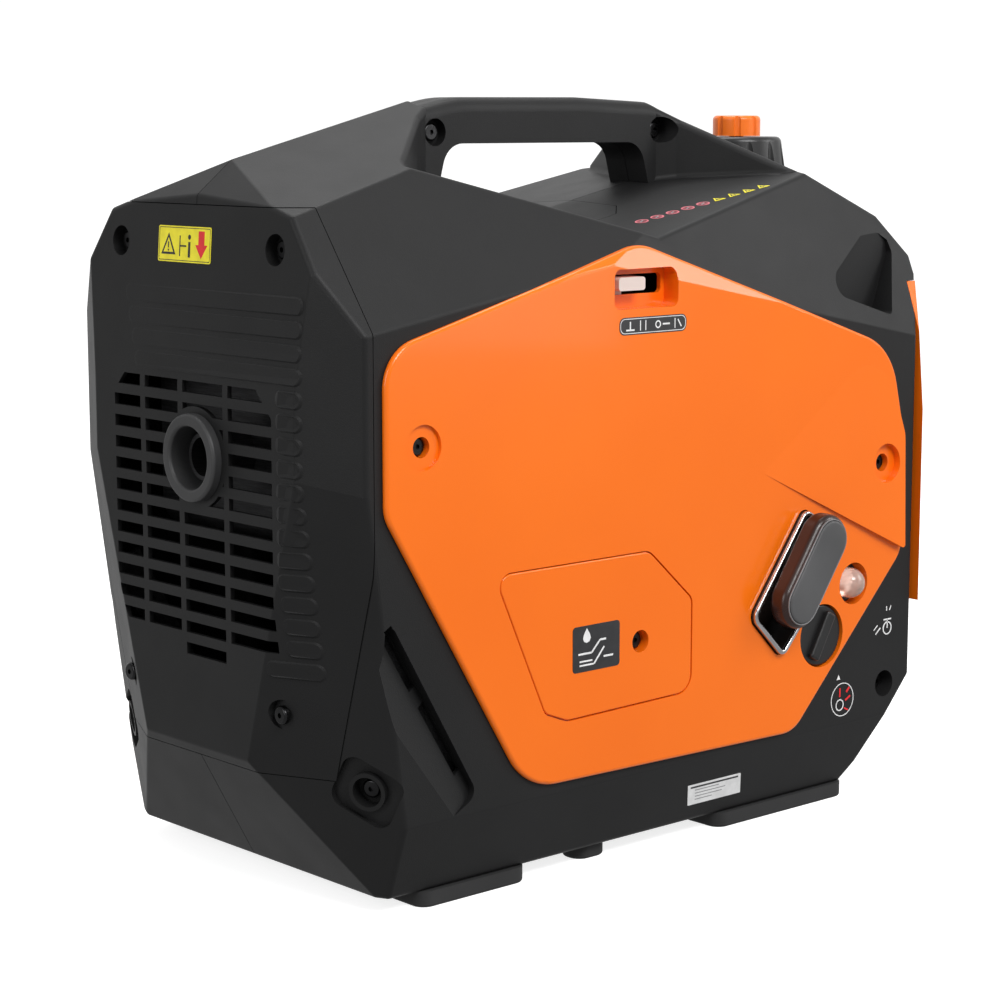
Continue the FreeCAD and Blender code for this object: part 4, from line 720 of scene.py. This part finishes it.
def make_intake_shade():
    """A dark sheet behind the cooling-air slots of each side, painted shade for the inside seen through them.
    """
    low, high = (Vector(end) for end in INTAKE_ENDS)
    outline = bar(low.x, low.y, high.x, high.y, INTAKE_WIDTH)
    for side, name in ((-1, "intake_shade_right"), (1, "intake_shade_left")):
        def fill(build, side=side):
            loops = [[build.verts.new(at(x, side * depth, z)) for x, z in outline] for depth in INTAKE_DEPTHS]
            add_walls(build, loops, 0)
            close_ends(build, loops)

        # painted shade: this dark filter_foam sheet stands in for the shade inside the case behind the slots
        new_object(name, fill, [MATERIALS["filter_foam"]], "case")


make_labels()
make_icon_row()
make_intake_shade()
make_rear_ribs()
make_grip_pad()
make_rope()
make_front_marks()

# ---------------------------------------------------------------- floor and lights

BACKDROP_HEADING = (0.66, 0.75, 0)
ROOM_STRENGTH = 0.4
WALL_STRENGTH = 1.05


def make_stage():
    """A white floor that lights nothing, and a dim room with one white wall."""
    bpy.ops.mesh.primitive_plane_add(size=60)
    floor = bpy.context.object
    floor.name = "floor"
    paper = Shader("paper", Roughness=0.9, Emission_Color=(1, 1, 1, 1), Emission_Strength=0.8)
    paper.set("Base Color", paper.ramp(paper.noise(3, 2), (0.6, 0.6, 0.6, 1), (0.62, 0.62, 0.62, 1)))
    floor.data.materials.append(paper.material)
    floor.visible_diffuse = False
    floor.visible_glossy = False
    world = bpy.data.worlds.new("world")
    bpy.context.scene.world = world
    world.use_nodes = True
    nodes = world.node_tree.nodes
    links = world.node_tree.links
    heading = nodes.new("ShaderNodeTexCoord")
    along = nodes.new("ShaderNodeVectorMath")
    along.operation = "DOT_PRODUCT"
    along.inputs[1].default_value = BACKDROP_HEADING
    wall = nodes.new("ShaderNodeMapRange")
    wall.inputs["From Min"].default_value = 0.2
    wall.inputs["From Max"].default_value = 0.94
    wall.inputs["To Min"].default_value = ROOM_STRENGTH
    wall.inputs["To Max"].default_value = WALL_STRENGTH
    links.new(heading.outputs["Generated"], along.inputs[0])
    links.new(along.outputs["Value"], wall.inputs["Value"])
    links.new(wall.outputs["Result"], nodes["Background"].inputs["Strength"])
    nodes["Background"].inputs["Color"].default_value = (1, 1, 1, 1)


def area_light(name, place, aim, width, height, power):
    data = bpy.data.lights.new(name, "AREA")
    data.shape = "RECTANGLE"
    data.size = width
    data.size_y = height
    data.energy = power
    light = bpy.data.objects.new(name, data)
    bpy.context.scene.collection.objects.link(light)
    light.location = place
    light.rotation_euler = (Vector(aim) - Vector(place)).to_track_quat("-Z", "Y").to_euler()


make_stage()
bpy.context.scene.view_settings.view_transform = "Standard"
area_light("key", (-0.4, -2.2, 2.2), (0, 0, 0.25), 1.4, 1.0, 60)
area_light("side", (-2.6, -0.2, 1.2), (0, 0, 0.25), 1.0, 1.4, 18)
area_light("top", (0.3, 0.6, 2.6), (0, 0, 0.3), 1.6, 1.2, 30)
area_light("front", (2.1, -1.7, 1.5), (0, 0, 0.25), 0.9, 1.4, 24)
area_light("sweep", (1.6, -2.5, 0.6), (-0.1, -0.14, 0.35), 1.0, 1.1, 5)
